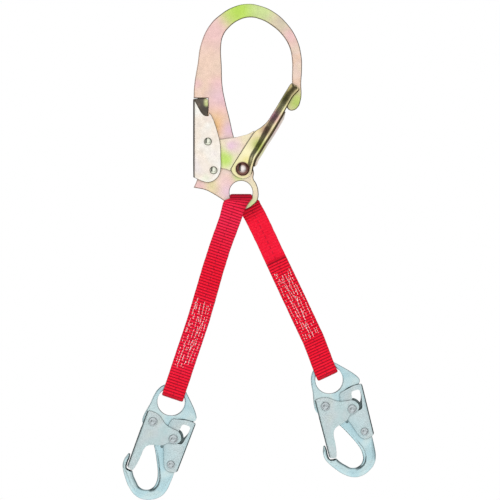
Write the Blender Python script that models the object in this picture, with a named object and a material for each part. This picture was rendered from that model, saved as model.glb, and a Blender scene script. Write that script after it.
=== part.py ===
import bpy
import bmesh
import math
from mathutils import Matrix, Vector

# Web positioning lanyard: one large gated hook, one folded web strap making two
# legs, and a double-locking snap hook on the end of each leg.
# Front view is the XZ plane seen along +Y.  World origin is the underside of the
# large hook's top arc, half way through the plate.

# ---- dimensions ------------------------------------------------------------
UNIT = 0.00119            # one drawing unit, metres
MM = 0.001
HANG_X, HANG_Y = 248.5, 17.4      # drawing position of the world origin (y down)
EYE_X, EYE_Y = 241.0, 192.4       # centre of the large hook's eye
EYE_R = 11.6                      # drawing units
PLATE = 3.25 * MM                 # half thickness of both hook bodies
GAP = 0.35 * MM

GATE_AXIS = (242.6, 169.0)        # large hook gate pivot
LEVER_AXIS = (208.0, 141.7)       # large hook lock lever pivot
PIN_AXIS = (213.6, 170.4)         # large hook lock pin, carried by the lever
LEVER_TRAVEL = math.radians(15)
GATE_TRAVEL = math.radians(32)

SNAP_EYE_R = 13.75                # drawing units
S_GATE_AXIS = (-9.8, 24.9)        # snap gate pivot (u right, v down the snap)
S_PIN_AXIS = (15.5, 33.9)         # lock pin carried by the snap gate
S_LEVER_AXIS = (22.3, 58.6)       # snap lever pivot
S_LEVER_TRAVEL = math.radians(12)
S_GATE_TRAVEL = math.radians(24)

WEB_HALF = 10.65                  # half width of the strap, drawing units
WEB_T = 3.0 * MM                  # strap thickness
WEB_OUT = 5.2 * MM                # layer centre beside a plate
WEB_IN = 1.9 * MM                 # centre of a return layer lying on a main layer
FLEX_V = 42.0                     # flex line below the eye, drawing units

LEG = {"left": (-18.48, 220.57), "right": (25.18, 206.85)}
SNAP = {"left": (171.1, 401.6, -21.0), "right": (329.0, 379.6, 13.6)}

# ---- clean start -----------------------------------------------------------
for o in list(bpy.data.objects):
    bpy.data.objects.remove(o, do_unlink=True)

parts = bpy.data.collections.new("positioning_lanyard")
cutters = bpy.data.collections.new("cutters")
bpy.context.scene.collection.children.link(parts)
bpy.context.scene.collection.children.link(cutters)


class Frame:
    def __init__(self, cx, cy, deg, ox=0.0, oy=0.0):
        self.loc = Vector(((cx - HANG_X) * UNIT, 0, (HANG_Y - cy) * UNIT))
        self.ang = -math.radians(deg)
        self.mat = Matrix.Translation(self.loc) @ Matrix.Rotation(self.ang, 4, "Y")
        self.o = (ox, oy)

    def p(self, x, y):
        return Vector(((x - self.o[0]) * UNIT, 0, (self.o[1] - y) * UNIT))


HOOK = Frame(HANG_X, HANG_Y, 0, HANG_X, HANG_Y)


def material(name, colour, metallic, rough):
    m = bpy.data.materials.new(name)
    m.use_nodes = True
    b = m.node_tree.nodes.get("Principled BSDF")
    b.inputs["Base Color"].default_value = (*colour, 1)
    b.inputs["Metallic"].default_value = metallic
    b.inputs["Roughness"].default_value = rough
    m.diffuse_color = (*colour, 1)
    return m


def finish(name, mesh, frame, origin, look, cutter=False):
    """Put a mesh, given in frame coordinates, in the scene with its own origin."""
    mesh.transform(Matrix.Translation(-origin))
    o = bpy.data.objects.new(name, mesh)
    o.location = frame.mat @ origin
    o.rotation_euler = (0, frame.ang, 0)
    if cutter:
        cutters.objects.link(o)
        o.hide_render = True
        o.display_type = "WIRE"
    else:
        parts.objects.link(o)
        mesh.materials.clear()
        mesh.materials.append(material(name + "_mat", *look))
    return o


def outline_mesh(frame, pts, half, res=4):
    """Closed outline with smooth or sharp (third value 1) points, filled and extruded along Y."""
    c = bpy.data.curves.new("outline", "CURVE")
    c.dimensions = "2D"
    c.fill_mode = "BOTH"
    c.extrude = half
    c.resolution_u = res
    s = c.splines.new("BEZIER")
    s.bezier_points.add(len(pts) - 1)
    s.use_cyclic_u = True
    for b, q in zip(s.bezier_points, pts):
        v = frame.p(q[0], q[1])
        b.co = (v.x, v.z, 0)
        kind = "VECTOR" if len(q) > 2 else "AUTO"
        b.handle_left_type = b.handle_right_type = kind
    o = bpy.data.objects.new("outline", c)
    bpy.context.scene.collection.objects.link(o)
    bpy.context.view_layer.update()
    dg = bpy.context.evaluated_depsgraph_get()
    me = bpy.data.meshes.new_from_object(o.evaluated_get(dg))
    bpy.data.objects.remove(o, do_unlink=True)
    bpy.data.curves.remove(c)
    me.transform(Matrix.Rotation(math.pi / 2, 4, "X"))
    bm = bmesh.new()
    bm.from_mesh(me)
    bmesh.ops.remove_doubles(bm, verts=bm.verts, dist=1e-6)
    bmesh.ops.dissolve_limit(
        bm, angle_limit=math.radians(3.5), verts=bm.verts, edges=bm.edges
    )
    bmesh.ops.triangulate(bm, faces=bm.faces)
    bmesh.ops.recalc_face_normals(bm, faces=bm.faces)
    bm.to_mesh(me)
    bm.free()
    me.materials.clear()
    return me


def slab_mesh(frame, pts, y0, y1, res=4):
    me = outline_mesh(frame, pts, (y1 - y0) / 2, res)
    me.transform(Matrix.Translation((0, (y0 + y1) / 2, 0)))
    return me


def pin_mesh(frame, at, radius, y0, y1, segments=32):
    bm = bmesh.new()
    bmesh.ops.create_cone(
        bm, cap_ends=True, segments=segments, radius1=radius, radius2=radius, depth=y1 - y0
    )
    me = bpy.data.meshes.new("pin")
    bm.to_mesh(me)
    bm.free()
    me.transform(Matrix.Rotation(math.pi / 2, 4, "X"))
    me.transform(Matrix.Translation(frame.p(*at) + Vector((0, (y0 + y1) / 2, 0))))
    return me


def lathe_mesh(frame, at, profile, segments=20):
    """Profile of (radius, y) pairs turned about the Y axis through a drawing point."""
    bm = bmesh.new()
    vs = [bm.verts.new((r, y, 0)) for r, y in profile]
    es = [bm.edges.new((a, b)) for a, b in zip(vs, vs[1:])]
    bmesh.ops.spin(
        bm, geom=vs + es, cent=(0, 0, 0), axis=(0, 1, 0), angle=2 * math.pi,
        steps=segments, use_merge=True,
    )
    bmesh.ops.remove_doubles(bm, verts=bm.verts, dist=1e-6)
    bmesh.ops.recalc_face_normals(bm, faces=bm.faces)
    me = bpy.data.meshes.new("lathe")
    bm.to_mesh(me)
    bm.free()
    me.shade_smooth()
    me.set_sharp_from_angle(angle=math.radians(40))
    me.transform(Matrix.Translation(frame.p(*at)))
    return me


def tube(name, frame, pts, radius, origin, look, smooth=False):
    """Round wire through (x, y, depth) points as one closed tube."""
    c = bpy.data.curves.new("wire", "CURVE")
    c.dimensions = "3D"
    c.bevel_depth = radius
    c.bevel_resolution = 2
    c.use_fill_caps = True
    s = c.splines.new("POLY")
    s.points.add(len(pts) - 1)
    for b, q in zip(s.points, pts):
        v = frame.p(q[0], q[1])
        b.co = (v.x, q[2], v.z, 1)
    o = bpy.data.objects.new("wire", c)
    bpy.context.scene.collection.objects.link(o)
    bpy.context.view_layer.update()
    dg = bpy.context.evaluated_depsgraph_get()
    me = bpy.data.meshes.new_from_object(o.evaluated_get(dg))
    bpy.data.objects.remove(o, do_unlink=True)
    bpy.data.curves.remove(c)
    bm = bmesh.new()
    bm.from_mesh(me)
    bmesh.ops.remove_doubles(bm, verts=bm.verts, dist=1e-6)
    bmesh.ops.recalc_face_normals(bm, faces=bm.faces)
    bm.to_mesh(me)
    bm.free()
    return finish(name, me, frame, origin, look)


def ribbon(name, frame, rows, origin, look):
    """Strap: each row is (left end, right end, thickness), ends in frame coordinates."""
    bm = bmesh.new()
    rings = []
    mids = [(a + b) / 2 for a, b, _ in rows]
    for i, (a, b, t) in enumerate(rows):
        along = mids[min(i + 1, len(rows) - 1)] - mids[max(i - 1, 0)]
        n = along.cross(b - a).normalized() * (t / 2)
        rings.append([bm.verts.new(v) for v in (a - n, b - n, b + n, a + n)])
    for r, s in zip(rings, rings[1:]):
        for k in range(4):
            bm.faces.new((r[k], r[(k + 1) % 4], s[(k + 1) % 4], s[k]))
    bm.faces.new(rings[0])
    bm.faces.new(rings[-1])
    bmesh.ops.triangulate(bm, faces=bm.faces)
    bmesh.ops.recalc_face_normals(bm, faces=bm.faces)
    me = bpy.data.meshes.new("ribbon")
    bm.to_mesh(me)
    bm.free()
    return finish(name, me, frame, origin, look)


def boolean(o, other, kind):
    m = o.modifiers.new("cut_" + other.name[:40], "BOOLEAN")
    m.operation = kind
    m.object = other
    m.solver = "EXACT"


def cut(o, name, mesh, frame):
    boolean(o, finish(name, mesh, frame, Vector((0, 0, 0)), None, cutter=True), "DIFFERENCE")


def join(o, name, mesh, frame):
    boolean(o, finish(name, mesh, frame, Vector((0, 0, 0)), None, cutter=True), "UNION")


def keep(o, name, mesh, frame):
    boolean(o, finish(name, mesh, frame, Vector((0, 0, 0)), None, cutter=True), "INTERSECT")


def turn(p, c, a):
    """Rotate drawing point p about c by a, counter-clockwise as seen from the front."""
    x, y = p[0] - c[0], c[1] - p[1]
    return (
        c[0] + x * math.cos(a) - y * math.sin(a),
        c[1] - (x * math.sin(a) + y * math.cos(a)),
    )


def slot_pts(path, r):
    """Outline of a slot: a round of radius r carried along a path of drawing points."""
    out = []
    n = len(path)
    for side in (1, -1):
        seq = path if side == 1 else path[::-1]
        for i in range(n):
            a = seq[max(i - 1, 0)]
            b = seq[min(i + 1, n - 1)]
            l = math.hypot(b[0] - a[0], b[1] - a[1])
            d = ((b[0] - a[0]) / l, (b[1] - a[1]) / l)
            q = seq[i]
            out.append((q[0] - d[1] * r, q[1] + d[0] * r, 1))
        e = seq[-1]
        for k in (-60, -30, 0, 30, 60):
            ca, sa = math.cos(math.radians(k)), math.sin(math.radians(k))
            out.append((e[0] + r * (d[0] * ca + d[1] * sa), e[1] + r * (d[1] * ca - d[0] * sa), 1))
    return out


def rivet(name, frame, at, shaft, head, y_plate, look, dome, rim=0.0):
    """Round shaft with a domed head beyond each outer plate face."""
    r, h = head * UNIT, dome
    shaft *= UNIT
    y = y_plate + 0.0
    half = [(0, y + h), (r * 0.60, y + h * 0.82), (r * 0.92, y + h * 0.40)]
    if rim:
        half += [(rim * UNIT, y + h * 0.2), (rim * UNIT, y)]
    else:
        half += [(r, y)]
    half += [(shaft, y)]
    prof = half + [(a, -b) for a, b in half[::-1]]
    return finish(name, lathe_mesh(frame, at, prof), frame, frame.p(*at), look)


ZINC = ((0.62, 0.68, 0.70), 1.0, 0.32)
YELLOW = ((0.83, 0.76, 0.62), 1.0, 0.30)
STEEL = ((0.55, 0.53, 0.50), 1.0, 0.25)
SPRING = ((0.35, 0.36, 0.38), 1.0, 0.35)
WEB = ((0.72, 0.03, 0.05), 0.0, 0.75)
THREAD = ((0.90, 0.86, 0.84), 0.0, 0.8)

# ---- large hook body -------------------------------------------------------
body_pts = [
    (247.1, 4.0), (260.5, 6.0), (273.9, 12.1), (287.3, 24.1), (296.7, 38.8),
    (301.4, 56.2), (301.9, 69.6), (301.1, 84.0), (301.4, 95.0), (300.3, 101.8),
    (298.0, 107.1), (292.7, 110.5), (288.3, 109.3), (290.6, 103.6), (293.7, 98.4),
    (292.8, 90.0), (292.0, 80.0), (291.6, 56.2), (288.7, 45.5), (282.0, 34.8), (272.6, 26.1),
    (260.5, 19.4), (249.8, 17.4), (239.1, 20.1), (228.4, 28.1), (223.0, 36.2),
    (221.2, 44.5), (221.7, 67.0), (222.6, 87.0), (225.7, 103.1), (229.7, 119.2),
    (233.7, 136.6), (237.5, 147.0), (244.0, 155.5), (250.5, 163.0), (253.9, 172.7),
    (253.4, 178.3), (256.4, 183.9), (258.5, 192.6), (257.4, 200.2), (252.9, 205.2),
    (247.0, 208.9), (240.6, 210.0), (234.0, 208.4), (228.6, 204.6), (223.8, 200.7),
    (213.6, 194.1), (205.4, 190.0), (193.7, 187.6, 1), (197.6, 178.0), (199.5, 166.0),
    (201.5, 150.0), (204.0, 133.0), (206.8, 118.0), (208.0, 108.4), (208.0, 98.2, 1),
    (193.6, 98.2, 1), (194.2, 85.7), (197.6, 64.3), (200.9, 44.2), (209.6, 25.4),
    (220.4, 14.7), (233.0, 7.2),
]
body = finish("rebar_hook_body", outline_mesh(HOOK, body_pts, PLATE, 3), HOOK,
              Vector((0, 0, 0)), YELLOW)
cut(body, "cut_eye", pin_mesh(HOOK, (EYE_X, EYE_Y), EYE_R * UNIT, -0.02, 0.02, 48), HOOK)
cut(body, "cut_gate_bore", pin_mesh(HOOK, GATE_AXIS, 2.8 * UNIT + 0.3 * MM, -0.02, 0.02), HOOK)
cut(body, "cut_lever_bore", pin_mesh(HOOK, LEVER_AXIS, 2.0 * UNIT + 0.3 * MM, -0.02, 0.02, 24), HOOK)
pin_path = [turn(PIN_AXIS, LEVER_AXIS, -LEVER_TRAVEL * k / 4) for k in range(-0, 5)]
cut(body, "cut_pin_slot",
    outline_mesh(HOOK, slot_pts(pin_path, 2.0 + 0.6 * MM / UNIT), 0.02, 1), HOOK)

# ---- large hook gate: bulged channel over the nose with a flat tail --------
gate_pts = [
    (289.8, 84.2, 1), (292.5, 83.2, 1), (297.0, 86.0), (299.2, 89.6, 1),
    (296.6, 92.9), (292.4, 97.2, 1), (271.4, 135.6), (256.6, 162.2),
    (254.4, 170.0), (249.4, 176.2), (242.6, 178.2), (236.0, 176.6), (231.6, 172.6),
    (230.3, 169.4), (236.6, 159.4), (255.2, 130.9, 1), (260.0, 127.9), (266.6, 122.2),
    (273.0, 112.5),
]
GB_IN, GB_OUT = 5.2 * MM, 6.9 * MM
TAIL_IN, TAIL_OUT = 3.6 * MM, 5.4 * MM
gate = finish("rebar_gate", outline_mesh(HOOK, gate_pts, GB_OUT, 4), HOOK,
              HOOK.p(*GATE_AXIS), YELLOW)
# hollow: everything on the inner side of the folded back
cut(gate, "cut_gate_channel", outline_mesh(HOOK, [
    (310.0, 80.0, 1), (300.0, 92.9, 1), (291.0, 97.2, 1), (290.9, 96.9, 1), (269.9, 135.0), (256.0, 160.0, 1),
    (262.0, 166.0, 1), (262.0, 190.0, 1), (215.0, 190.0, 1), (215.0, 60.0, 1), (310.0, 60.0, 1)], GB_IN, 2), HOOK)
for tag, y0, y1 in (("front", -TAIL_OUT, -TAIL_IN), ("rear", TAIL_IN, TAIL_OUT)):
    join(gate, "add_gate_tail_" + tag, slab_mesh(HOOK, [
        (217.0, 141.6), (224.6, 139.1), (233.4, 138.0), (241.8, 135.9), (247.9, 134.2),
        (254.2, 131.2), (260.2, 127.9), (258.4, 133.6), (248.0, 148.0), (240.4, 159.2), (235.6, 166.8), (231.6, 170.7),
        (226.5, 169.2), (221.5, 168.2), (217.6, 166.6), (216.0, 160.0), (215.8, 148.0)],
        y0, y1, 3), HOOK)
cut(gate, "cut_gate_holes", pin_mesh(HOOK, GATE_AXIS, 2.8 * UNIT + 0.3 * MM, -0.02, 0.02), HOOK)

rivet("rebar_gate_rivet", HOOK, GATE_AXIS, 2.8, 5.9, GB_OUT + 0.3 * MM, STEEL, 3.4 * MM, rim=7.0)


def hairpin(name, frame, axis, radius, a0, a1, legs, depth, wire, look=SPRING):
    """Flat torsion spring: an arc about a pivot with a straight leg at each end."""
    pts = []
    n = 16
    for k in range(n + 1):
        a = math.radians(a0 + (a1 - a0) * k / n)
        pts.append((axis[0] + radius * math.cos(a), axis[1] - radius * math.sin(a), depth))
    first = (pts[0][0] + legs[0][0], pts[0][1] + legs[0][1], depth)
    last = (pts[-1][0] + legs[1][0], pts[-1][1] + legs[1][1], depth)
    return tube(name, frame, [first] + pts + [last], wire, frame.p(*axis), look)


hairpin("rebar_gate_spring", HOOK, GATE_AXIS, 4.9, 60, -200, ((3.0, -9.0), (-0.6, -2.2)),
        4.25 * MM, 0.6 * MM)

# ---- large hook lock lever -------------------------------------------------
LV_IN, LV_OUT = 5.8 * MM, 7.4 * MM
lever_pts = [
    (193.2, 99.6, 1), (194.6, 101.1, 1), (207.6, 116.4, 1), (208.0, 108.6, 1), (209.6, 112.4),
    (211.6, 116.0), (214.9, 123.7), (217.5, 132.1), (220.2, 143.6), (220.8, 157.0),
    (220.8, 168.5), (219.6, 174.0), (215.4, 179.6), (209.0, 182.4), (204.6, 182.2),
    (195.7, 177.4), (194.2, 175.4), (193.2, 160.0, 1),
]
lever = finish("rebar_lock_lever", outline_mesh(HOOK, lever_pts, LV_OUT, 3), HOOK,
               HOOK.p(*LEVER_AXIS), YELLOW)
cut(lever, "cut_lever_channel", outline_mesh(HOOK, [
    (194.8, 90.0, 1), (194.8, 195.0, 1), (230.0, 195.0, 1), (230.0, 90.0, 1)], LV_IN, 1), HOOK)
cut(lever, "cut_lever_back_relief", slab_mesh(HOOK, [
    (190.0, 94.0, 1), (196.5, 94.0, 1), (196.5, 102.0, 1), (190.0, 102.0, 1)], -3.9 * MM, 3.9 * MM, 1), HOOK)
cut(lever, "cut_lever_holes", pin_mesh(HOOK, LEVER_AXIS, 2.0 * UNIT + 0.3 * MM, -0.02, 0.02, 24), HOOK)
cut(lever, "cut_lever_pin_holes", pin_mesh(HOOK, PIN_AXIS, 2.0 * UNIT + 0.1 * MM, -0.02, 0.02, 24), HOOK)
rivet("rebar_lever_rivet", HOOK, LEVER_AXIS, 2.0, 3.8, LV_OUT + 0.2 * MM, STEEL, 2.0 * MM)
rivet("rebar_lock_pin", HOOK, PIN_AXIS, 2.0, 3.8, LV_OUT + 0.1 * MM, STEEL, 2.0 * MM)
hairpin("rebar_lever_spring", HOOK, LEVER_AXIS, 4.0, -20, 200, ((-2.2, 6.2), (2.2, 6.2)),
        4.5 * MM, 0.6 * MM)

# ---- webbing ---------------------------------------------------------------


def web(side):
    deg, eye_v = LEG[side]
    leg = Frame(EYE_X, EYE_Y, deg)
    f = -1 if side == "left" else 1          # main layer in front or behind
    shift = 0.0 if side == "left" else 1.2   # sideways set of the strap on its leg
    a = math.radians(deg)

    def row(v, y, off=None, half=WEB_HALF):
        s = shift if off is None else off
        return [Vector(((s - half) * UNIT, y, -v * UNIT)), Vector(((s + half) * UNIT, y, -v * UNIT))]

    # the fold's crest lies level across the eye and the rows turn square to the leg below it
    rows = []
    for drop, y, hw in ((2.5, 0.15, 10.1), (2.6, 2.3, 10.1), (3.4, 4.1, 10.2), (5.4, 5.05, 10.3)):
        ends = []
        for x in (-hw, hw):
            u = x * math.cos(a) - drop * math.sin(a)
            v = x * math.sin(a) + drop * math.cos(a)
            ends.append(Vector((u * UNIT, f * y * MM, -v * UNIT)))
        rows.append((*ends, WEB_T))
    tip = 5.0 * math.sin(a)
    rows.append((Vector(((shift * 0.6 - 10.5) * UNIT, f * WEB_OUT, (tip - 11.5) * UNIT)),
                 Vector(((shift * 0.6 + 10.5) * UNIT, f * WEB_OUT, (-tip - 11.5) * UNIT)), WEB_T))
    for v in (18.0, 30.0, FLEX_V - 1.8 * MM / UNIT):
        rows.append((*row(v, f * WEB_OUT), WEB_T))
    ribbon(side + "_web_upper", leg, rows, Vector((0, 0, 0)), WEB)

    r = WEB_T / 2
    rows = []
    for k in (8, 35, 62):
        k = math.radians(k)
        rows.append((*row(FLEX_V - r * math.cos(k) / UNIT, f * WEB_OUT), 2 * r * math.sin(k)))
    for v in (FLEX_V, FLEX_V + 20, eye_v - 60, eye_v - 30):
        rows.append((*row(v, f * WEB_OUT), WEB_T))
    for dv, y in ((9.6, 5.2), (7.0, 4.9), (5.0, 3.7), (4.3, 1.6), (4.3, -1.6), (5.0, -3.7),
                  (7.0, -4.9), (9.6, -5.2), (14.0, -5.2), (20.8, -5.2)):
        rows.append((*row(eye_v - dv, f * y * MM, 0.3 * shift), WEB_T))
    end_v = 110.0 if side == "left" else 79.0
    for dv, y in ((24.0, -4.6), (42.0, 1.2), (46.0, 1.9)):
        rows.append((*row(eye_v - dv, f * y * MM, shift if dv > 40 else 0.6 * shift), WEB_T))
    for v in (eye_v - 70, end_v):
        rows.append((*row(v, f * WEB_IN), WEB_T))
    low = ribbon(side + "_web_lower", leg, rows, Vector((0, f * WEB_OUT, -FLEX_V * UNIT)), WEB)

    # sewing thread seen on the front of the doubled strap
    face = -WEB_OUT - r if side == "left" else WEB_IN - r
    y = face - 0.7 * MM
    v0, v1 = (113.0, 176.0) if side == "left" else (84.0, 160.0)
    n = 18
    pts = []
    for k in range(n + 1):
        u = shift + (7.6 if k % 2 else -7.6)
        pts.append((u, v0 + (v1 - v0) * k / n, y))
    tube(side + "_web_stitching", leg, pts, 0.4 * MM, Vector((0, f * WEB_OUT, -FLEX_V * UNIT)), THREAD)


web("left")
web("right")

# ---- snap hooks ------------------------------------------------------------
snap_body_pts = [
    (0.0, -18.0), (8.0, -16.1), (12.5, -12.6), (29.0, 4.7), (29.7, 7.3), (28.3, 10.6),
    (25.0, 11.8), (19.0, 12.2), (13.6, 14.4), (12.2, 18.0), (12.2, 30.0), (12.4, 38.6), (15.0, 41.2),
    (19.5, 42.2), (23.0, 45.6), (26.2, 52.0), (28.2, 59.0), (28.5, 66.0), (28.4, 76.5),
    (27.5, 85.2), (24.5, 92.0), (18.0, 97.7), (8.5, 101.2), (0.5, 100.4), (-8.0, 95.5),
    (-15.0, 88.2), (-19.6, 81.0), (-21.9, 75.8), (-22.4, 70.2), (-20.6, 64.6), (-19.35, 66.2),
    (-19.4, 73.6), (-17.2, 78.6, 1), (-11.4, 78.8, 1), (-8.6, 82.4), (-4.0, 87.0), (1.5, 91.2),
    (8.8, 91.0), (13.8, 86.5), (15.0, 80.0), (13.3, 72.0), (8.0, 60.9), (2.0, 50.4),
    (-3.0, 43.0), (-6.4, 35.4), (-10.4, 34.6), (-15.4, 33.2), (-18.8, 30.2), (-20.5, 26.4),
    (-20.8, 22.6), (-20.2, 17.0), (-18.9, 9.0), (-18.3, 0.0), (-16.3, -8.0), (-11.6, -14.0),
    (-6.0, -17.0),
]
bend_pts = [
    (15.6, 74.0), (21.0, 71.6), (28.2, 72.6), (28.4, 76.5), (27.5, 85.2), (24.5, 92.0), (18.0, 97.7),
    (8.5, 101.2), (0.5, 100.4), (-8.0, 95.5), (-15.0, 88.2), (-18.4, 83.0), (-13.4, 80.6),
    (-8.6, 82.4), (-4.0, 87.0), (1.5, 91.2), (8.8, 91.0), (13.8, 86.5), (15.2, 80.0),
]
S_LV_IN, S_LV_OUT = 3.6 * MM, 4.9 * MM
S_GT_IN, S_GT_OUT = 5.2 * MM, 6.5 * MM
s_lever_pts = [
    (31.1, 13.0, 1), (30.6, 11.6, 1), (24.0, 11.2), (17.6, 12.6), (11.0, 14.5), (7.8, 15.6),
    (6.6, 19.0), (5.9, 24.0), (5.6, 30.0), (6.6, 37.0), (9.6, 44.9), (12.6, 52.4), (15.6, 60.2),
    (18.6, 64.6), (22.6, 66.0), (26.6, 65.2), (30.2, 63.6), (31.1, 62.0, 1),
]
s_gate_pts = [
    (-18.9, 17.6), (-17.6, 16.4), (-12.4, 15.8), (-7.4, 16.4), (-2.0, 19.4), (2.0, 22.2),
    (5.7, 23.6), (11.6, 24.5), (17.6, 25.2), (21.4, 28.2), (22.9, 32.9), (20.6, 36.6),
    (16.4, 38.0), (12.4, 39.0), (7.9, 43.2), (2.8, 45.4), (-2.4, 47.0), (-6.4, 49.6),
    (-8.2, 53.0), (-8.9, 62.0), (-9.4, 69.0), (-10.4, 74.4), (-11.9, 77.4), (-14.6, 77.0),
    (-17.5, 75.6), (-18.1, 70.0), (-18.6, 52.0), (-18.9, 34.0),
]


def grown(pts, d):
    """Outline pushed outwards by d drawing units, points listed clockwise in the front view."""
    out = []
    n = len(pts)
    for i, q in enumerate(pts):
        a, b = pts[i - 1], pts[(i + 1) % n]
        l = math.hypot(b[0] - a[0], b[1] - a[1])
        out.append((q[0] + d * (b[1] - a[1]) / l, q[1] - d * (b[0] - a[0]) / l, *q[2:]))
    return out


def snap(side):
    cx, cy, deg = SNAP[side]
    fr = Frame(cx, cy, deg)
    pre = side + "_snap_"
    zero = Vector((0, 0, 0))
    b = finish(pre + "body", outline_mesh(fr, snap_body_pts, PLATE, 3), fr, zero, ZINC)
    join(b, pre + "add_bend", outline_mesh(fr, grown(bend_pts, 0.3), 4.6 * MM, 2), fr)
    cut(b, pre + "cut_eye", pin_mesh(fr, (0, 0), SNAP_EYE_R * UNIT, -0.02, 0.02, 48), fr)
    cut(b, pre + "cut_gate_bore", pin_mesh(fr, S_GATE_AXIS, 2.2 * UNIT + 0.3 * MM, -0.02, 0.02, 24), fr)
    cut(b, pre + "cut_lever_bore", pin_mesh(fr, S_LEVER_AXIS, 1.9 * UNIT + 0.3 * MM, -0.02, 0.02, 24), fr)
    cut(b, pre + "cut_spring_hole", pin_mesh(fr, (7.2, 46.6), 1.4 * UNIT, -0.01, -1.0 * MM, 16), fr)
    cut(b, pre + "cut_spring_pocket",
        pin_mesh(fr, S_LEVER_AXIS, 5.4 * UNIT, 1.3 * MM, 0.01, 32), fr)

    lv = finish(pre + "lock_lever", outline_mesh(fr, s_lever_pts, S_LV_OUT, 3), fr,
                fr.p(*S_LEVER_AXIS), ZINC)
    cut(lv, pre + "cut_lever_channel", outline_mesh(fr, [
        (29.9, 5.0, 1), (29.9, 75.0, 1), (0.0, 75.0, 1), (0.0, 5.0, 1)], S_LV_IN, 1), fr)
    cut(lv, pre + "cut_lever_top", outline_mesh(fr, [
        (40.0, 5.0, 1), (40.0, 13.4, 1), (28.6, 13.4, 1), (27.0, 5.0, 1)], S_LV_IN, 1), fr)
    # window, running into the slot that the lock pin travels as the lever sees it
    cut(lv, pre + "cut_lever_window", outline_mesh(fr, [
        (19.3, 17.2), (23.0, 16.4), (26.4, 16.8), (27.5, 20.6), (26.8, 25.0), (24.2, 30.0),
        (19.8, 34.6), (16.6, 36.9), (13.8, 36.3), (12.7, 33.6), (14.0, 30.6), (17.2, 26.4),
        (18.2, 22.6)], 0.02, 3), fr)
    cut(lv, pre + "cut_lever_hole", pin_mesh(fr, S_LEVER_AXIS, 1.9 * UNIT + 0.3 * MM, -0.02, 0.02, 24), fr)

    g = finish(pre + "gate", outline_mesh(fr, s_gate_pts, S_GT_OUT, 3), fr,
               fr.p(*S_GATE_AXIS), ZINC)
    cut(g, pre + "cut_gate_channel", outline_mesh(fr, [
        (-30.0, 5.0, 1), (-30.0, 34.6, 1), (-17.6, 34.6, 1), (-17.0, 60.0, 1), (-16.7, 76.3, 1), (-20.0, 90.0, 1),
        (40.0, 90.0, 1), (40.0, 5.0, 1)], S_GT_IN, 1), fr)
    cut(g, pre + "cut_gate_hole", pin_mesh(fr, S_GATE_AXIS, 2.2 * UNIT + 0.3 * MM, -0.02, 0.02, 24), fr)
    cut(g, pre + "cut_gate_pin_hole", pin_mesh(fr, S_PIN_AXIS, 2.0 * UNIT + 0.1 * MM, -0.02, 0.02, 24), fr)

    rivet(pre + "gate_rivet", fr, S_GATE_AXIS, 2.2, 4.2, S_GT_OUT + 0.2 * MM, ZINC, 2.1 * MM)
    rivet(pre + "lock_pin", fr, S_PIN_AXIS, 2.0, 4.4, S_GT_OUT + 0.1 * MM, ZINC, 2.1 * MM)
    rivet(pre + "lever_rivet", fr, S_LEVER_AXIS, 1.9, 3.7, S_LV_OUT + 0.2 * MM, ZINC, 1.8 * MM)
    hairpin(pre + "gate_spring", fr, S_GATE_AXIS, 3.9, -95, 190, ((-3.0, 7.0), (5.5, 8.5)),
            4.2 * MM, 0.5 * MM)
    hairpin(pre + "lever_spring", fr, S_LEVER_AXIS, 3.5, 30, 300, ((0.3, -0.4), (1.0, 0.6)),
            2.3 * MM, 0.45 * MM)


snap("left")
snap("right")
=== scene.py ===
import bpy
import bmesh
import math
import random
import numpy as np
from mathutils import Matrix, Vector


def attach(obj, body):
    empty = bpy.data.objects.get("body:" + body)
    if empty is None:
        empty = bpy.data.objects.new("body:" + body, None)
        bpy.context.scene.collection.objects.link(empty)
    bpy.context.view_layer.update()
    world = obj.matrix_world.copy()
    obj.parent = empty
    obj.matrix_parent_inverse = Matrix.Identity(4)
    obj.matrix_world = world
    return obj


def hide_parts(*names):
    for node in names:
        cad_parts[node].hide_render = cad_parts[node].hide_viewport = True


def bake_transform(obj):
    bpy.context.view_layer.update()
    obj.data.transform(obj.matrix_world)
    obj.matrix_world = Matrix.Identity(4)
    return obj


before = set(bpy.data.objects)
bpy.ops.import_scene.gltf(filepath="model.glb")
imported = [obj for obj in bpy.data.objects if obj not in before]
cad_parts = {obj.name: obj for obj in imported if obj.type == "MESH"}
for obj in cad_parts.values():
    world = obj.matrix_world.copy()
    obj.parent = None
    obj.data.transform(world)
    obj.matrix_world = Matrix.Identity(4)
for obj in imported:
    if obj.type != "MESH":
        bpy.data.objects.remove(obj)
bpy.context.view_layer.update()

UNIT = 0.00119
MM = 0.001
HX, HY = 248.5, 17.4
EYE = (241.0, 192.4)
LEG = {"left": (-18.48, 220.57), "right": (25.18, 206.85)}
SNAP = {"left": (171.1, 401.6, -21.0), "right": (329.0, 379.6, 13.6)}
GATE_AXIS = (242.6, 169.0)
LEVER_AXIS = (208.0, 141.7)
PIN_AXIS = (213.6, 170.4)
S_GATE_AXIS = (-9.8, 24.9)
S_PIN_AXIS = (15.5, 33.9)
S_LEVER_AXIS = (22.3, 58.6)
scene = bpy.context.scene


class Frame:
    def __init__(self, cx, cy, deg, ox=0.0, oy=0.0):
        self.loc = Vector(((cx - HX) * UNIT, 0, (HY - cy) * UNIT))
        self.ang = -math.radians(deg)
        self.mat = Matrix.Translation(self.loc) @ Matrix.Rotation(self.ang, 4, "Y")
        self.o = (ox, oy)

    def p(self, x, y, d=0.0):
        return Vector(((x - self.o[0]) * UNIT, d, (self.o[1] - y) * UNIT))


HOOK = Frame(HX, HY, 0, HX, HY)

# ---------------------------------------------------------------- mesh helpers


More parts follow.
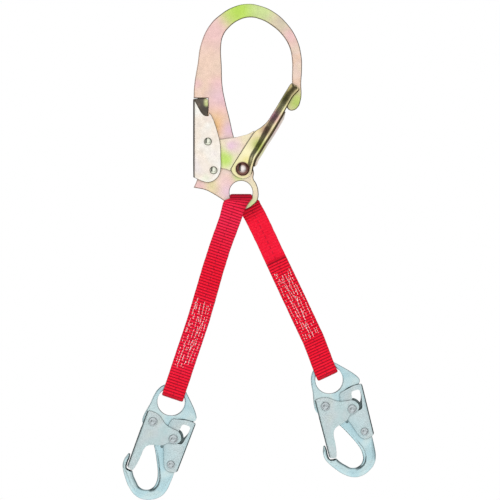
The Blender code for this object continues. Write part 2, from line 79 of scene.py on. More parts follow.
def put(name, me, fr, mat, body, *nodes, slot=None, weighted=True, sharp=40, origin=None):
    """Make an object of a mesh given in frame coordinates, ride it on a body."""
    o = bpy.data.objects.new(name, me)
    scene.collection.objects.link(o)
    m = fr.mat.copy()
    if origin is not None:
        me.transform(Matrix.Translation(-origin))
        m = m @ Matrix.Translation(origin)
    o.matrix_world = m
    me.materials.clear()
    me.materials.append(mat)
    me.shade_smooth()
    if sharp:
        me.set_sharp_from_angle(angle=math.radians(sharp))
    if weighted:
        w = o.modifiers.new("even_shading", "WEIGHTED_NORMAL")
        w.keep_sharp = True
        w.weight = 90
    if body:
        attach(o, body)
    if nodes:
        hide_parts(*nodes)
    return o


def outline(fr, pts, half, bevel=0.0, res=8, seg=2, holes=(), y=0.0):
    """Filled outline extruded along Y, every edge rounded by bevel.  Smooth points, or sharp ones with a third value."""
    c = bpy.data.curves.new("outline", "CURVE")
    c.dimensions = "2D"
    c.fill_mode = "BOTH"
    c.extrude = half - bevel
    c.bevel_depth = bevel
    c.bevel_resolution = seg
    c.offset = -bevel
    c.resolution_u = res
    s = c.splines.new("BEZIER")
    s.bezier_points.add(len(pts) - 1)
    s.use_cyclic_u = True
    for b, q in zip(s.bezier_points, pts):
        v = fr.p(q[0], q[1])
        b.co = (v.x, v.z, 0)
        kind = "VECTOR" if len(q) > 2 else "AUTO"
        b.handle_left_type = b.handle_right_type = kind
    for x, yy, r in holes:
        h = c.splines.new("BEZIER")
        h.bezier_points.add(7)
        h.use_cyclic_u = True
        for k, b in enumerate(h.bezier_points):
            a = 2 * math.pi * k / 8
            v = fr.p(x, yy)
            b.co = (v.x + r * math.cos(a), v.z + r * math.sin(a), 0)
            b.handle_left_type = b.handle_right_type = "AUTO"
    o = bpy.data.objects.new("outline", c)
    scene.collection.objects.link(o)
    bpy.context.view_layer.update()
    dg = bpy.context.evaluated_depsgraph_get()
    me = bpy.data.meshes.new_from_object(o.evaluated_get(dg))
    bpy.data.objects.remove(o, do_unlink=True)
    bpy.data.curves.remove(c)
    me.transform(Matrix.Rotation(math.pi / 2, 4, "X"))
    me.transform(Matrix.Translation((0, y, 0)))
    return tidy(me)


def tidy(me, dissolve=True):
    bm = bmesh.new()
    bm.from_mesh(me)
    bmesh.ops.remove_doubles(bm, verts=bm.verts, dist=2e-6)
    if dissolve:
        bmesh.ops.dissolve_limit(bm, angle_limit=math.radians(0.3), verts=bm.verts, edges=bm.edges)
    bmesh.ops.recalc_face_normals(bm, faces=bm.faces)
    bm.to_mesh(me)
    bm.free()
    me.materials.clear()
    return me


def loop_of(fr, pts, res, space):
    """Points along a closed outline, evenly spaced, as (x, z) rows in frame coordinates."""
    c = bpy.data.curves.new("loop", "CURVE")
    c.dimensions = "2D"
    c.fill_mode = "NONE"
    c.resolution_u = res
    sp = c.splines.new("BEZIER")
    sp.bezier_points.add(len(pts) - 1)
    sp.use_cyclic_u = True
    for b, q in zip(sp.bezier_points, pts):
        v = fr.p(q[0], q[1])
        b.co = (v.x, v.z, 0)
        b.handle_left_type = b.handle_right_type = "VECTOR" if len(q) > 2 else "AUTO"
    o = bpy.data.objects.new("loop", c)
    scene.collection.objects.link(o)
    bpy.context.view_layer.update()
    me = bpy.data.meshes.new_from_object(o.evaluated_get(bpy.context.evaluated_depsgraph_get()))
    bpy.data.objects.remove(o, do_unlink=True)
    bpy.data.curves.remove(c)
    co = np.array([tuple(v.co)[:2] for v in me.vertices])
    nxt = {}
    for e in me.edges:
        a, b = e.vertices
        nxt.setdefault(a, []).append(b)
        nxt.setdefault(b, []).append(a)
    order, prev, cur = [0], None, 0
    while True:
        go = [k for k in nxt[cur] if k != prev]
        prev, cur = cur, go[0]
        if cur == 0:
            break
        order.append(cur)
    co = co[order]
    closed = np.vstack([co, co[:1]])
    d = np.concatenate([[0], np.cumsum(np.linalg.norm(np.diff(closed, axis=0), axis=1))])
    n = int(round(d[-1] / space))
    t = np.arange(n) * d[-1] / n
    return np.stack([np.interp(t, d, closed[:, 0]), np.interp(t, d, closed[:, 1])], 1)


def circle_loop(fr, x, y, r, space):
    v = fr.p(x, y)
    n = max(16, int(2 * math.pi * r / space))
    a = np.arange(n) * 2 * math.pi / n
    return np.stack([v.x + r * np.cos(a), v.z + r * np.sin(a)], 1)


def inside(loops, p):
    c = np.zeros(len(p), bool)
    for lp in loops:
        a, b = lp, np.roll(lp, -1, axis=0)
        for (x0, z0), (x1, z1) in zip(a, b):
            if z0 == z1:
                continue
            hit = ((p[:, 1] < z0) != (p[:, 1] < z1)) & (p[:, 0] < (x1 - x0) * (p[:, 1] - z0) / (z1 - z0) + x0)
            c ^= hit
    return c


def gap_to(loops, p):
    best = np.full(len(p), 1e9)
    for lp in loops:
        a, b = lp, np.roll(lp, -1, axis=0)
        for s0 in range(0, len(a), 64):
            aa, bb = a[s0:s0 + 64], b[s0:s0 + 64]
            ab = bb - aa
            ap = p[:, None, :] - aa[None]
            t = np.clip((ap * ab[None]).sum(2) / (ab * ab).sum(1)[None], 0, 1)
            q = ap - ab[None] * t[..., None]
            best = np.minimum(best, np.sqrt((q * q).sum(2)).min(1))
    return best


def inflate(loops, height, rings=(0.12, 0.3, 0.55, 0.85, 1.25, 1.8, 2.5, 3.4, 4.5), grid=1.25):
    """Forged shape: a flat outline whose two faces swell from its edge.  height(points, gap) gives the half thickness."""
    from mathutils.geometry import delaunay_2d_cdt
    pts = [lp for lp in loops]
    last = 0.0
    for r in rings:
        r *= MM
        for lp in loops:
            t = np.roll(lp, -1, axis=0) - np.roll(lp, 1, axis=0)
            t /= np.linalg.norm(t, axis=1)[:, None] + 1e-12
            nr = np.stack([-t[:, 1], t[:, 0]], 1)
            step = 1 if r < 1.0 * MM else 2
            for sgn in (1, -1):
                q = (lp + nr * sgn * r)[::step]
                ok = inside(loops, q)
                q = q[ok]
                if len(q):
                    g = gap_to(loops, q)
                    pts.append(q[g > 0.93 * r])
        last = r
    lo, hi = loops[0].min(0), loops[0].max(0)
    gx, gz = np.meshgrid(np.arange(lo[0], hi[0], grid * MM), np.arange(lo[1], hi[1], grid * MM))
    q = np.stack([gx.ravel(), gz.ravel()], 1)
    q = q[inside(loops, q)]
    q = q[gap_to(loops, q) > last + 0.6 * grid * MM]
    pts.append(q)
    allp = np.vstack(pts)
    edges, base = [], 0
    for lp in loops:
        n = len(lp)
        edges += [(base + k, base + (k + 1) % n) for k in range(n)]
        base += n
    vo, _, fo, *_ = delaunay_2d_cdt([Vector((float(a) * 1000, float(b) * 1000)) for a, b in allp], edges, [], 0, 1e-5)
    v2 = np.array([(v.x, v.y) for v in vo]) / 1000
    tri = np.array([list(f) for f in fo])
    cen = v2[tri].mean(1)
    tri = tri[inside(loops, cen)]
    g = gap_to(loops, v2)
    g[g < 2e-6] = 0.0
    h = height(v2, g)
    n = len(v2)
    verts = [(a, -y, b) for (a, b), y in zip(v2, h)] + [(a, y, b) for (a, b), y in zip(v2, h)]
    faces = [tuple(int(k) for k in t) for t in tri] + [tuple(int(k) + n for k in t[::-1]) for t in tri]
    me = bpy.data.meshes.new("forged")
    me.from_pydata(verts, [], faces)
    bm = bmesh.new()
    bm.from_mesh(me)
    bm.verts.ensure_lookup_table()
    rim = [(e.verts[0].index, e.verts[1].index) for e in bm.edges if len(e.link_faces) == 1 and e.verts[0].index < n and e.verts[1].index < n]
    for a, b in rim:
        bm.faces.new((bm.verts[a], bm.verts[b], bm.verts[b + n], bm.verts[a + n]))
    bmesh.ops.delete(bm, geom=[v for v in bm.verts if not v.link_faces], context="VERTS")
    bmesh.ops.recalc_face_normals(bm, faces=bm.faces)
    bm.to_mesh(me)
    bm.free()
    return me


def smooth(x, a, b):
    t = np.clip((x - a) / (b - a), 0, 1)
    return t * t * (3 - 2 * t)


def round_bar(fr, at, r, y0, y1, segments=48):
    bm = bmesh.new()
    bmesh.ops.create_cone(bm, cap_ends=True, segments=segments, radius1=r, radius2=r, depth=y1 - y0)
    me = bpy.data.meshes.new("bar")
    bm.to_mesh(me)
    bm.free()
    me.transform(Matrix.Rotation(math.pi / 2, 4, "X"))
    me.transform(Matrix.Translation(fr.p(*at) + Vector((0, (y0 + y1) / 2, 0))))
    return me


def combine(a, b, op):
    """Boolean of two meshes, both in the same coordinates."""
    oa = bpy.data.objects.new("a", a)
    ob = bpy.data.objects.new("b", b)
    scene.collection.objects.link(oa)
    scene.collection.objects.link(ob)
    m = oa.modifiers.new("b", "BOOLEAN")
    m.object = ob
    m.operation = op
    m.solver = "EXACT"
    bpy.context.view_layer.update()
    dg = bpy.context.evaluated_depsgraph_get()
    out = bpy.data.meshes.new_from_object(oa.evaluated_get(dg))
    bpy.data.objects.remove(oa, do_unlink=True)
    bpy.data.objects.remove(ob, do_unlink=True)
    return tidy(out, dissolve=False)


def merge(*meshes):
    bm = bmesh.new()
    for me in meshes:
        bm.from_mesh(me)
    out = bpy.data.meshes.new("merged")
    bm.to_mesh(out)
    bm.free()
    return out


def lathe(profile, steps=48):
    """(radius, y) profile turned about Y, closed."""
    bm = bmesh.new()
    vs = [bm.verts.new((r, y, 0)) for r, y in profile]
    es = [bm.edges.new(e) for e in zip(vs, vs[1:])]
    bmesh.ops.spin(bm, geom=vs + es, cent=(0, 0, 0), axis=(0, 1, 0), angle=2 * math.pi, steps=steps, use_merge=True)
    bmesh.ops.remove_doubles(bm, verts=bm.verts, dist=2e-6)
    bmesh.ops.recalc_face_normals(bm, faces=bm.faces)
    me = bpy.data.meshes.new("lathe")
    bm.to_mesh(me)
    bm.free()
    return me


def dome_profile(r, y, h, shaft, rim=None, flat=0.0, n=10):
    """Domed head of radius r standing h off a face at y, with an optional wider rim washer."""
    half = []
    for k in range(n + 1):
        a = math.pi / 2 * k / n
        q = math.sin(a)
        rr = flat + (r - flat) * q if flat else r * q
        half.append((rr if k else 0.0, y + 0.18 * h + 0.82 * h * math.cos(a)))
    if flat:
        half.insert(0, (0.0, half[0][1] + 0.00001))
        half[1] = (flat, half[1][1])
    if rim:
        half += [(rim - 0.2 * MM, y + 0.30 * h), (rim, y + 0.16 * h), (rim, y + 0.02 * MM), (rim - 0.1 * MM, y)]
    else:
        half += [(r * 1.0, y + 0.1 * h), (r - 0.15 * MM, y)]
    half += [(shaft, y)]
    return half + [(a, -b) for a, b in half[::-1]]


# ---------------------------------------------------------------- materials
class Nodes:
    def __init__(self, name):
        self.m = bpy.data.materials.new(name)
        self.m.use_nodes = True
        self.t = self.m.node_tree
        self.b = self.t.nodes["Principled BSDF"]

    def n(self, kind, **kw):
        x = self.t.nodes.new(kind)
        for k, v in kw.items():
            if hasattr(x, k):
                setattr(x, k, v)
        return x

    def l(self, a, b):
        self.t.links.new(a, b)

    def math(self, op, a, b=None, c=None, clamp=False):
        x = self.n("ShaderNodeMath", operation=op, use_clamp=clamp)
        for i, v in enumerate((a, b, c)):
            if v is None:
                continue
            if isinstance(v, (int, float)):
                x.inputs[i].default_value = v
            else:
                self.l(v, x.inputs[i])
        return x.outputs[0]

    def mix(self, fac, a, b, blend="MIX"):
        x = self.n("ShaderNodeMix", data_type="RGBA", blend_type=blend)
        for i, v in ((0, fac), (6, a), (7, b)):
            if isinstance(v, (int, float)):
                x.inputs[i].default_value = v
            elif isinstance(v, tuple):
                x.inputs[i].default_value = (*v, 1)
            else:
                self.l(v, x.inputs[i])
        return x.outputs[2]

    def noise(self, co, scale, detail=3.0, rough=0.5, distort=0.0):
        x = self.n("ShaderNodeTexNoise")
        x.inputs["Scale"].default_value = scale
        x.inputs["Detail"].default_value = detail
        x.inputs["Roughness"].default_value = rough
        x.inputs["Distortion"].default_value = distort
        self.l(co, x.inputs["Vector"])
        return x.outputs["Fac"]

    def ramp(self, fac, stops, interp="LINEAR"):
        x = self.n("ShaderNodeValToRGB")
        x.color_ramp.interpolation = interp
        e = x.color_ramp.elements
        while len(e) < len(stops):
            e.new(0.5)
        for s, (p, c) in zip(e, stops):
            s.position = p
            s.color = (*c, 1)
        self.l(fac, x.inputs[0])
        return x.outputs[0]

    def remap(self, v, a, b, c, d):
        x = self.n("ShaderNodeMapRange")
        self.l(v, x.inputs[0])
        for i, q in zip((1, 2, 3, 4), (a, b, c, d)):
            x.inputs[i].default_value = q
        return x.outputs[0]

    def bump(self, h, strength, dist, under=None):
        x = self.n("ShaderNodeBump")
        x.inputs["Strength"].default_value = strength
        x.inputs["Distance"].default_value = dist
        self.l(h, x.inputs["Height"])
        if under is not None:
            self.l(under, x.inputs["Normal"])
        return x.outputs[0]

    def obj(self):
        return self.n("ShaderNodeTexCoord").outputs["Object"]

    def edges(self, col, dark, lo=0.08, hi=0.45, amount=0.85, lit_upper_left=False):
        """Painted shade on the rounded rim between the plate's flat face and its side (picked by object-space normal).
        """
        nrm = self.n("ShaderNodeTexCoord").outputs["Normal"]
        sep = self.n("ShaderNodeSeparateXYZ")
        self.l(nrm, sep.inputs[0])
        turn_ = self.math("SUBTRACT", 1.0, self.math("ABSOLUTE", sep.outputs[1]))
        f = self.math("MULTIPLY", self.remap(turn_, lo, hi, 0.0, amount), self.remap(turn_, 0.84, 0.97, 1.0, 0.25))
        if lit_upper_left:
            # painted light: rims facing up and to the left are kept lighter, as if lit from there
            way = self.math("SUBTRACT", self.math("MULTIPLY", sep.outputs[0], 0.8), self.math("MULTIPLY", sep.outputs[2], 0.6))
            f = self.math("MULTIPLY", f, self.remap(way, -0.75, 0.0, 0.12, 1.0))
        return self.mix(f, col, dark)

    def paint_contact_shade(self, col, dark, amount, reach=0.0028):
        """Painted shade where two pieces nearly touch, darker by ambient occlusion."""
        ao = self.n("ShaderNodeAmbientOcclusion")
        ao.samples = 6
        ao.inputs["Distance"].default_value = reach
        return self.mix(self.remap(ao.outputs["AO"], 0.90, 0.45, 0.0, amount), col, dark)

    def hollow(self, y, half, bend):
        """Mask for painted shade: 1 on the inside of a folded channel, 0 on the outer wall of its fold."""
        deep = self.math("LESS_THAN", self.math("ABSOLUTE", y), half)
        if not bend:
            return deep
        sep = self.n("ShaderNodeSeparateXYZ")
        self.l(self.n("ShaderNodeTexCoord").outputs["Normal"], sep.inputs[0])
        return self.math("MULTIPLY", deep, self.remap(self.math("MULTIPLY", sep.outputs[0], float(bend)), 0.72, 0.88, 1.0, 0.0))

    def blob(self, co, centre, radius):
        """1 at centre falling to 0 at radius, in object coordinates."""
        flat = self.n("ShaderNodeVectorMath", operation="MULTIPLY")
        self.l(co, flat.inputs[0])
        flat.inputs[1].default_value = (1, 0, 1)
        d = self.n("ShaderNodeVectorMath", operation="DISTANCE")
        self.l(flat.outputs[0], d.inputs[0])
        d.inputs[1].default_value = (centre[0], 0, centre[2])
        x = self.n("ShaderNodeMapRange", interpolation_type="SMOOTHSTEP")
        self.l(d.outputs["Value"], x.inputs[0])
        x.inputs[1].default_value = 0.0
        x.inputs[2].default_value = radius
        x.inputs[3].default_value = 1.0
        x.inputs[4].default_value = 0.0
        return x.outputs[0]


def W(x, y, d=0.0):
    return HOOK.p(x, y, d)


PINK = (0.88, 0.57, 0.57)
WARM = (0.88, 0.64, 0.52)
CREAM = (0.82, 0.74, 0.50)
LIME = (0.50, 0.76, 0.09)
PALEGREEN = (0.62, 0.76, 0.32)
LILAC = (0.80, 0.54, 0.66)
PEACH = (0.88, 0.56, 0.30)


def yellow_zinc(name, base, blobs, rough=0.27, scale=38.0, rim_shade=0.8, edge_span=(0.06, 0.40), inner=None, contact_shade_amount=0.75, inside_shade_and_reflection_spots=(), reach=0.0028, bend=0, lit_upper_left=False, inside_shade_col=(0.035, 0.024, 0.012)):
    """Chromate-coloured zinc plate: slow colour changes, faint rolling marks, worn pale edges; painted shade on the
    rims, between nearby parts and inside folded channels.
    """
    k = Nodes(name)
    co = k.obj()
    col = k.ramp(k.noise(co, scale, 2.0, 0.45, 0.6), [
        (0.28, tuple(0.90 * a + 0.10 * b for a, b in zip(base, LIME))),
        (0.42, base),
        (0.55, tuple(0.72 * a + 0.28 * b for a, b in zip(base, PEACH))),
        (0.70, tuple(0.76 * a + 0.24 * b for a, b in zip(base, LILAC)))])
    for c, centre, radius in blobs:
        f = k.blob(co, centre, radius)
        wob = k.remap(k.noise(co, 70.0, 2.0, 0.5), 0.3, 0.7, 0.86, 1.0)
        col = k.mix(k.math("MULTIPLY", f, wob), col, c)
    fine = k.noise(co, 900.0, 3.0, 0.6)
    col = k.mix(k.remap(fine, 0.35, 0.75, 0.0, 0.16), col, (0.60, 0.54, 0.40))
    edge = k.n("ShaderNodeNewGeometry").outputs["Pointiness"]
    wear = k.remap(edge, 0.52, 0.60, 0.0, 0.25)
    col = k.mix(wear, col, (0.93, 0.91, 0.86))
    # painted shade on the rounded rims
    col = k.edges(col, (0.09, 0.065, 0.035), *edge_span, rim_shade, lit_upper_left)
    # painted shade inside the folded channel, with painted shadow and reflection spots laid over it
    if inner:
        sp_ = k.n("ShaderNodeSeparateXYZ")
        k.l(co, sp_.inputs[0])
        deep = k.hollow(sp_.outputs[1], inner, bend)
        dark = inside_shade_col
        for c, centre, radius in inside_shade_and_reflection_spots:
            dark = k.mix(k.blob(co, centre, radius), dark, c)
        col = k.mix(k.math("MULTIPLY", deep, 0.92), col, dark)
    # painted shade along the rounded fold of the channel
    if bend:
        sb = k.n("ShaderNodeSeparateXYZ")
        k.l(k.n("ShaderNodeTexCoord").outputs["Normal"], sb.inputs[0])
        side_n = k.math("MULTIPLY", sb.outputs[0], float(bend))
        f_ = k.math("MULTIPLY", k.remap(side_n, 0.42, 0.68, 0.0, 0.97), k.remap(side_n, 0.94, 0.99, 1.0, 0.15))
        col = k.mix(f_, col, (0.03, 0.02, 0.014))
    # painted shade between nearby parts
    if contact_shade_amount:
        col = k.paint_contact_shade(col, (0.07, 0.055, 0.03), contact_shade_amount, reach)
    k.l(col, k.b.inputs["Base Color"])
    k.b.inputs["Metallic"].default_value = 1.0
    r = k.remap(k.noise(co, 160.0, 4.0, 0.6), 0.3, 0.75, rough - 0.06, rough + 0.10)
    k.l(r, k.b.inputs["Roughness"])
    k.b.inputs["Specular Tint"].default_value = (0.38, 0.34, 0.28, 1)
    sc = k.n("ShaderNodeMapping")
    sc.inputs["Scale"].default_value = (900, 900, 90)
    k.l(co, sc.inputs["Vector"])
    h = k.noise(sc.outputs[0], 1.0, 3.0, 0.6)
    k.l(k.bump(h, 0.10, 0.00012, k.bump(k.noise(co, 55.0, 2.0, 0.5), 0.10, 0.0015)), k.b.inputs["Normal"])
    return k.m


def silver_zinc(name, rough=0.30, tint=(0.70, 0.79, 0.79), grain=(700, 700, 60), rim_shade=0.9, edge_span=(0.05, 0.32), inner=None, tones=None, bend=0):
    k = Nodes(name)
    co = k.obj()
    n1 = k.noise(co, 34.0, 3.0, 0.5, 0.4)
    a_, b_, c_ = tones or ((0.52, 0.66, 0.68), (0.66, 0.73, 0.71), (0.66, 0.73, 0.62))
    col = k.ramp(n1, [(0.30, a_), (0.45, tint), (0.58, b_), (0.72, c_)])
    grit = k.noise(co, 420.0, 4.0, 0.65)
    col = k.mix(k.remap(grit, 0.35, 0.72, 0.0, 0.30), col, (0.40, 0.52, 0.55))
    edge = k.n("ShaderNodeNewGeometry").outputs["Pointiness"]
    col = k.mix(k.remap(edge, 0.52, 0.60, 0.0, 0.25), col, (0.92, 0.95, 0.95))
    # painted shade on the rounded rims
    if rim_shade:
        col = k.edges(col, (0.045, 0.065, 0.065), *edge_span, rim_shade)
    if bend:
        # painted shade: the rounded fold is darkened along its whole length
        sb = k.n("ShaderNodeSeparateXYZ")
        k.l(k.n("ShaderNodeTexCoord").outputs["Normal"], sb.inputs[0])
        side_n = k.math("MULTIPLY", sb.outputs[0], float(bend))
        f_ = k.math("MULTIPLY", k.remap(side_n, 0.25, 0.55, 0.0, 0.95), k.remap(side_n, 0.93, 0.985, 1.0, 0.15))
        col = k.mix(f_, col, (0.03, 0.05, 0.05))
    # painted shade inside the folded channel
    if inner:
        sp_ = k.n("ShaderNodeSeparateXYZ")
        k.l(co, sp_.inputs[0])
        deep = k.hollow(sp_.outputs[1], inner, bend)
        col = k.mix(k.math("MULTIPLY", deep, 0.85), col, (0.07, 0.10, 0.10))
    # painted shade between nearby parts
    col = k.paint_contact_shade(col, (0.04, 0.06, 0.06), 0.7)
    k.l(col, k.b.inputs["Base Color"])
    k.b.inputs["Metallic"].default_value = 1.0
    k.l(k.remap(k.noise(co, 120.0, 4.0, 0.6), 0.3, 0.75, rough - 0.06, rough + 0.12), k.b.inputs["Roughness"])
    k.b.inputs["Specular Tint"].default_value = (0.45, 0.50, 0.50, 1)
    sc = k.n("ShaderNodeMapping")
    sc.inputs["Scale"].default_value = grain
    k.l(co, sc.inputs["Vector"])
    h = k.noise(sc.outputs[0], 1.0, 4.0, 0.6)
    k.l(k.bump(h, 0.18, 0.0002, k.bump(k.noise(co, 90.0, 3.0, 0.5), 0.15, 0.0012)), k.b.inputs["Normal"])
    return k.m


def polished(name, colour, rough=0.12, rim=None, span=(0.02, 0.22)):
    k = Nodes(name)
    co = k.obj()
    n = k.noise(co, 260.0, 3.0, 0.6)
    col = k.mix(k.remap(n, 0.35, 0.7, 0.0, 0.45), colour, tuple(0.55 * c for c in colour))
    # painted shade darkening the rivet head towards its rim
    if rim:
        col = k.edges(col, rim, *span, 0.92)
    k.l(col, k.b.inputs["Base Color"])
    k.b.inputs["Metallic"].default_value = 1.0
    k.l(k.remap(n, 0.3, 0.7, rough, rough + 0.1), k.b.inputs["Roughness"])
    k.l(k.bump(k.noise(co, 1500.0, 3.0, 0.6), 0.08, 0.0001), k.b.inputs["Normal"])
    return k.m


def web_fabric(name):
    """Ribbed nylon strap.  UV: u across in metres, v along in metres."""
    k = Nodes(name)
    uv = k.n("ShaderNodeTexCoord").outputs["UV"]
    sep = k.n("ShaderNodeSeparateXYZ")
    k.l(uv, sep.inputs[0])
    u, v = sep.outputs[0], sep.outputs[1]
    groove = k.n("ShaderNodeAttribute", attribute_name="groove").outputs["Fac"]
    shade = k.n("ShaderNodeAttribute", attribute_name="shade").outputs["Fac"]
    # warp yarns along the strap, twisted filaments within them
    yarn = k.math("ABSOLUTE", k.math("SINE", k.math("MULTIPLY", u, math.pi / 0.00092)))
    fil = k.math("SINE", k.math("ADD", k.math("MULTIPLY", u, 2 * math.pi / 0.00023), k.math("MULTIPLY", v, 2 * math.pi / 0.0011)))
    co = k.n("ShaderNodeCombineXYZ")
    k.l(k.math("MULTIPLY", u, 1.0), co.inputs[0])
    k.l(k.math("MULTIPLY", v, 1.0), co.inputs[1])
    big = k.noise(co.outputs[0], 26.0, 2.0, 0.5)
    mid = k.noise(co.outputs[0], 420.0, 3.0, 0.6)
    # painted highlight: a pinker sheen on the upper left leg, faint on the right leg
    sheen_pink_amount = k.n("ShaderNodeAttribute", attribute_name="sheen_pink").outputs["Fac"]
    top = k.mix(sheen_pink_amount, (0.96, 0.002, 0.028), (0.98, 0.022, 0.095))
    top = k.mix(k.remap(mid, 0.42, 0.68, 0.0, 0.34), top, (1.0, 0.055, 0.10))
    # painted shade in the gaps between warp yarns
    top = k.mix(k.remap(yarn, 0.0, 0.40, 0.30, 0.0), top, (0.50, 0.002, 0.012))
    top = k.mix(k.remap(big, 0.38, 0.62, 0.0, 0.30), top, (0.80, 0.004, 0.018))
    # painted shade in the grooves between ribs
    col = k.mix(k.remap(groove, 0.16, 0.74, 0.0, 0.92), top, (0.25, 0.0, 0.010))
    # painted shade from the shade attribute
    col = k.mix(shade, col, (0.085, 0.0, 0.004))
    # faint dark tracer down the middle
    mline = k.math("ABSOLUTE", u)
    trace = k.math("MULTIPLY", k.math("LESS_THAN", mline, 0.0006), k.math("GREATER_THAN", k.math("SINE", k.math("MULTIPLY", v, 2 * math.pi / (2 * 0.00342))), 0.0))
    col = k.mix(k.math("MULTIPLY", trace, 0.42), col, (0.10, 0.002, 0.02))
    k.l(col, k.b.inputs["Base Color"])
    k.l(k.remap(mid, 0.3, 0.7, 0.52, 0.70), k.b.inputs["Roughness"])
    k.b.inputs["Sheen Weight"].default_value = 0.03
    k.b.inputs["Sheen Roughness"].default_value = 0.45
    k.b.inputs["Sheen Tint"].default_value = (1.0, 0.45, 0.50, 1)
    k.b.inputs["Specular IOR Level"].default_value = 0.12
    h = k.math("ADD", k.math("MULTIPLY", yarn, 0.8), k.math("ADD", k.math("MULTIPLY", fil, 0.25), k.math("MULTIPLY", mid, 0.5)))
    k.l(k.bump(h, 0.55, 0.00016), k.b.inputs["Normal"])
    return k.m


def thread_mat(name):
    k = Nodes(name)
    co = k.obj()
    n = k.noise(co, 900.0, 3.0, 0.6)
    k.l(k.ramp(k.noise(co, 300.0, 2.0, 0.5), [(0.32, (0.86, 0.22, 0.26)), (0.43, (0.95, 0.60, 0.61)), (0.53, (1.0, 0.96, 0.94))]), k.b.inputs["Base Color"])
    k.b.inputs["Roughness"].default_value = 0.55
    k.b.inputs["Sheen Weight"].default_value = 0.3
    k.l(k.bump(k.noise(co, 5200.0, 2.0, 0.5), 0.4, 0.0001), k.b.inputs["Normal"])
    return k.m


def spring_mat(name):
    k = Nodes(name)
    co = k.obj()
    n = k.noise(co, 500.0, 3.0, 0.6)
    k.l(k.ramp(n, [(0.3, (0.20, 0.21, 0.22)), (0.7, (0.42, 0.43, 0.45))]), k.b.inputs["Base Color"])
    k.b.inputs["Metallic"].default_value = 1.0
    k.b.inputs["Roughness"].default_value = 0.35
    k.l(k.bump(n, 0.2, 0.0001), k.b.inputs["Normal"])
    return k.m


HOOK_MAT = yellow_zinc("hook_plate", (0.84, 0.64, 0.55), [
    (PALEGREEN, W(248, 9), 0.048), (LIME, W(240, 11), 0.034), (LIME, W(231, 17), 0.020), (PINK, W(213, 34), 0.040),
    (PALEGREEN, W(264, 10), 0.026), ((0.66, 0.60, 0.44), W(284, 26), 0.030), (PINK, W(291, 36), 0.018),
    (WARM, W(206, 62), 0.036), (WARM, W(208, 84), 0.030), (PINK, W(197, 84), 0.010), (PINK, W(218, 84), 0.016), (LILAC, W(222, 100), 0.026), (PINK, W(218, 108), 0.022),
    (PEACH, W(214, 122), 0.026), ((0.90, 0.52, 0.20), W(217, 128), 0.014), (LILAC, W(230, 130), 0.018), ((0.44, 0.62, 0.10), W(296, 102), 0.022),
    (LIME, W(238, 177), 0.012), (CREAM, W(251, 186), 0.024), (PALEGREEN, W(252, 204), 0.014),
    ((0.80, 0.72, 0.34), W(214, 185), 0.016), (PINK, W(226, 184), 0.020), (LILAC, W(228, 192), 0.014), (PINK, W(199, 186), 0.012)],
    rim_shade=0.94, edge_span=(0.01, 0.15), reach=0.0042, lit_upper_left=True)
# gate arm patches: the dark olive and brown ones are painted dark reflection along the arm's slope, the cream ones
# painted light on the lower arm, the purple one chromate tint
GATE_MAT = yellow_zinc("gate_plate", (0.84, 0.78, 0.44), [
    (CREAM, W(246, 150), 0.022), ((0.34, 0.28, 0.10), W(289, 90), 0.020), ((0.26, 0.26, 0.08), W(284, 98), 0.014),
    ((0.66, 0.28, 0.42), W(273, 116), 0.015), ((0.36, 0.20, 0.14), W(266, 130), 0.012), ((0.36, 0.44, 0.06), W(259, 146), 0.016),
    ((0.92, 0.86, 0.52), W(246, 152), 0.014), ((0.84, 0.76, 0.30), W(247, 161), 0.010)], rough=0.16, rim_shade=0.92, edge_span=(0.10, 0.26), inner=4.9 * MM)
HEM_MAT = yellow_zinc("gate_hem_plate", (0.60, 0.54, 0.50), [((0.60, 0.46, 0.46), W(276, 128), 0.014), ((0.60, 0.60, 0.34), W(262, 152), 0.014)],
    rough=0.26, rim_shade=0.9, edge_span=(0.02, 0.2), inner=5.10 * MM)
TAIL_MAT = yellow_zinc("gate_tail_plate", (0.86, 0.78, 0.58), [
    ((0.54, 0.77, 0.16), W(223, 158), 0.020), ((0.52, 0.76, 0.13), W(226, 160), 0.012), ((0.84, 0.62, 0.66), W(234, 145), 0.017), ((0.80, 0.56, 0.68), W(231, 146), 0.008),
    (CREAM, W(247, 138), 0.012), (CREAM, W(238, 160), 0.010)], rough=0.24, rim_shade=0.9)
# lever: painted shade inside the channel, a deeper painted shadow in the notch and painted yellow-green reflection
# spots on the rear cheek seen through it
LEVER_MAT = yellow_zinc("lever_plate", (1.0, 0.98, 0.93), [
    ((0.97, 0.84, 0.77), W(209, 118), 0.008), ((0.95, 0.87, 0.84), W(214, 154), 0.008), ((0.90, 0.92, 0.74), W(206, 178), 0.008)], rough=0.30, scale=22.0,
    rim_shade=0.95, edge_span=(0.01, 0.14), inner=6.1 * MM, bend=-1, inside_shade_col=(0.15, 0.12, 0.085),
    inside_shade_and_reflection_spots=[((0.035, 0.024, 0.012), W(204.5, 107.5), 0.0230), ((0.14, 0.10, 0.07), W(198.5, 104.5), 0.0035), ((0.70, 0.76, 0.30), W(206.6, 103.6), 0.0050), ((0.80, 0.82, 0.40), W(206.6, 100.6), 0.0050)])
ZINC_BODY = silver_zinc("snap_forged", 0.22, (0.47, 0.66, 0.70), (160, 160, 160), 0.75, (0.30, 0.80),
                        tones=((0.40, 0.61, 0.67), (0.56, 0.70, 0.71), (0.61, 0.70, 0.65)))
ZINC_LEVER = silver_zinc("snap_lever_plate", 0.32, (0.50, 0.63, 0.65), inner=3.62 * MM, rim_shade=0.62, bend=1,
                         tones=((0.46, 0.63, 0.66), (0.55, 0.64, 0.65), (0.58, 0.66, 0.60)))
ZINC_GATE = silver_zinc("snap_gate_plate", 0.34, (0.54, 0.67, 0.68), inner=5.22 * MM, rim_shade=0.45, bend=-1,
                        tones=((0.51, 0.69, 0.70), (0.56, 0.64, 0.65), (0.60, 0.68, 0.62)))
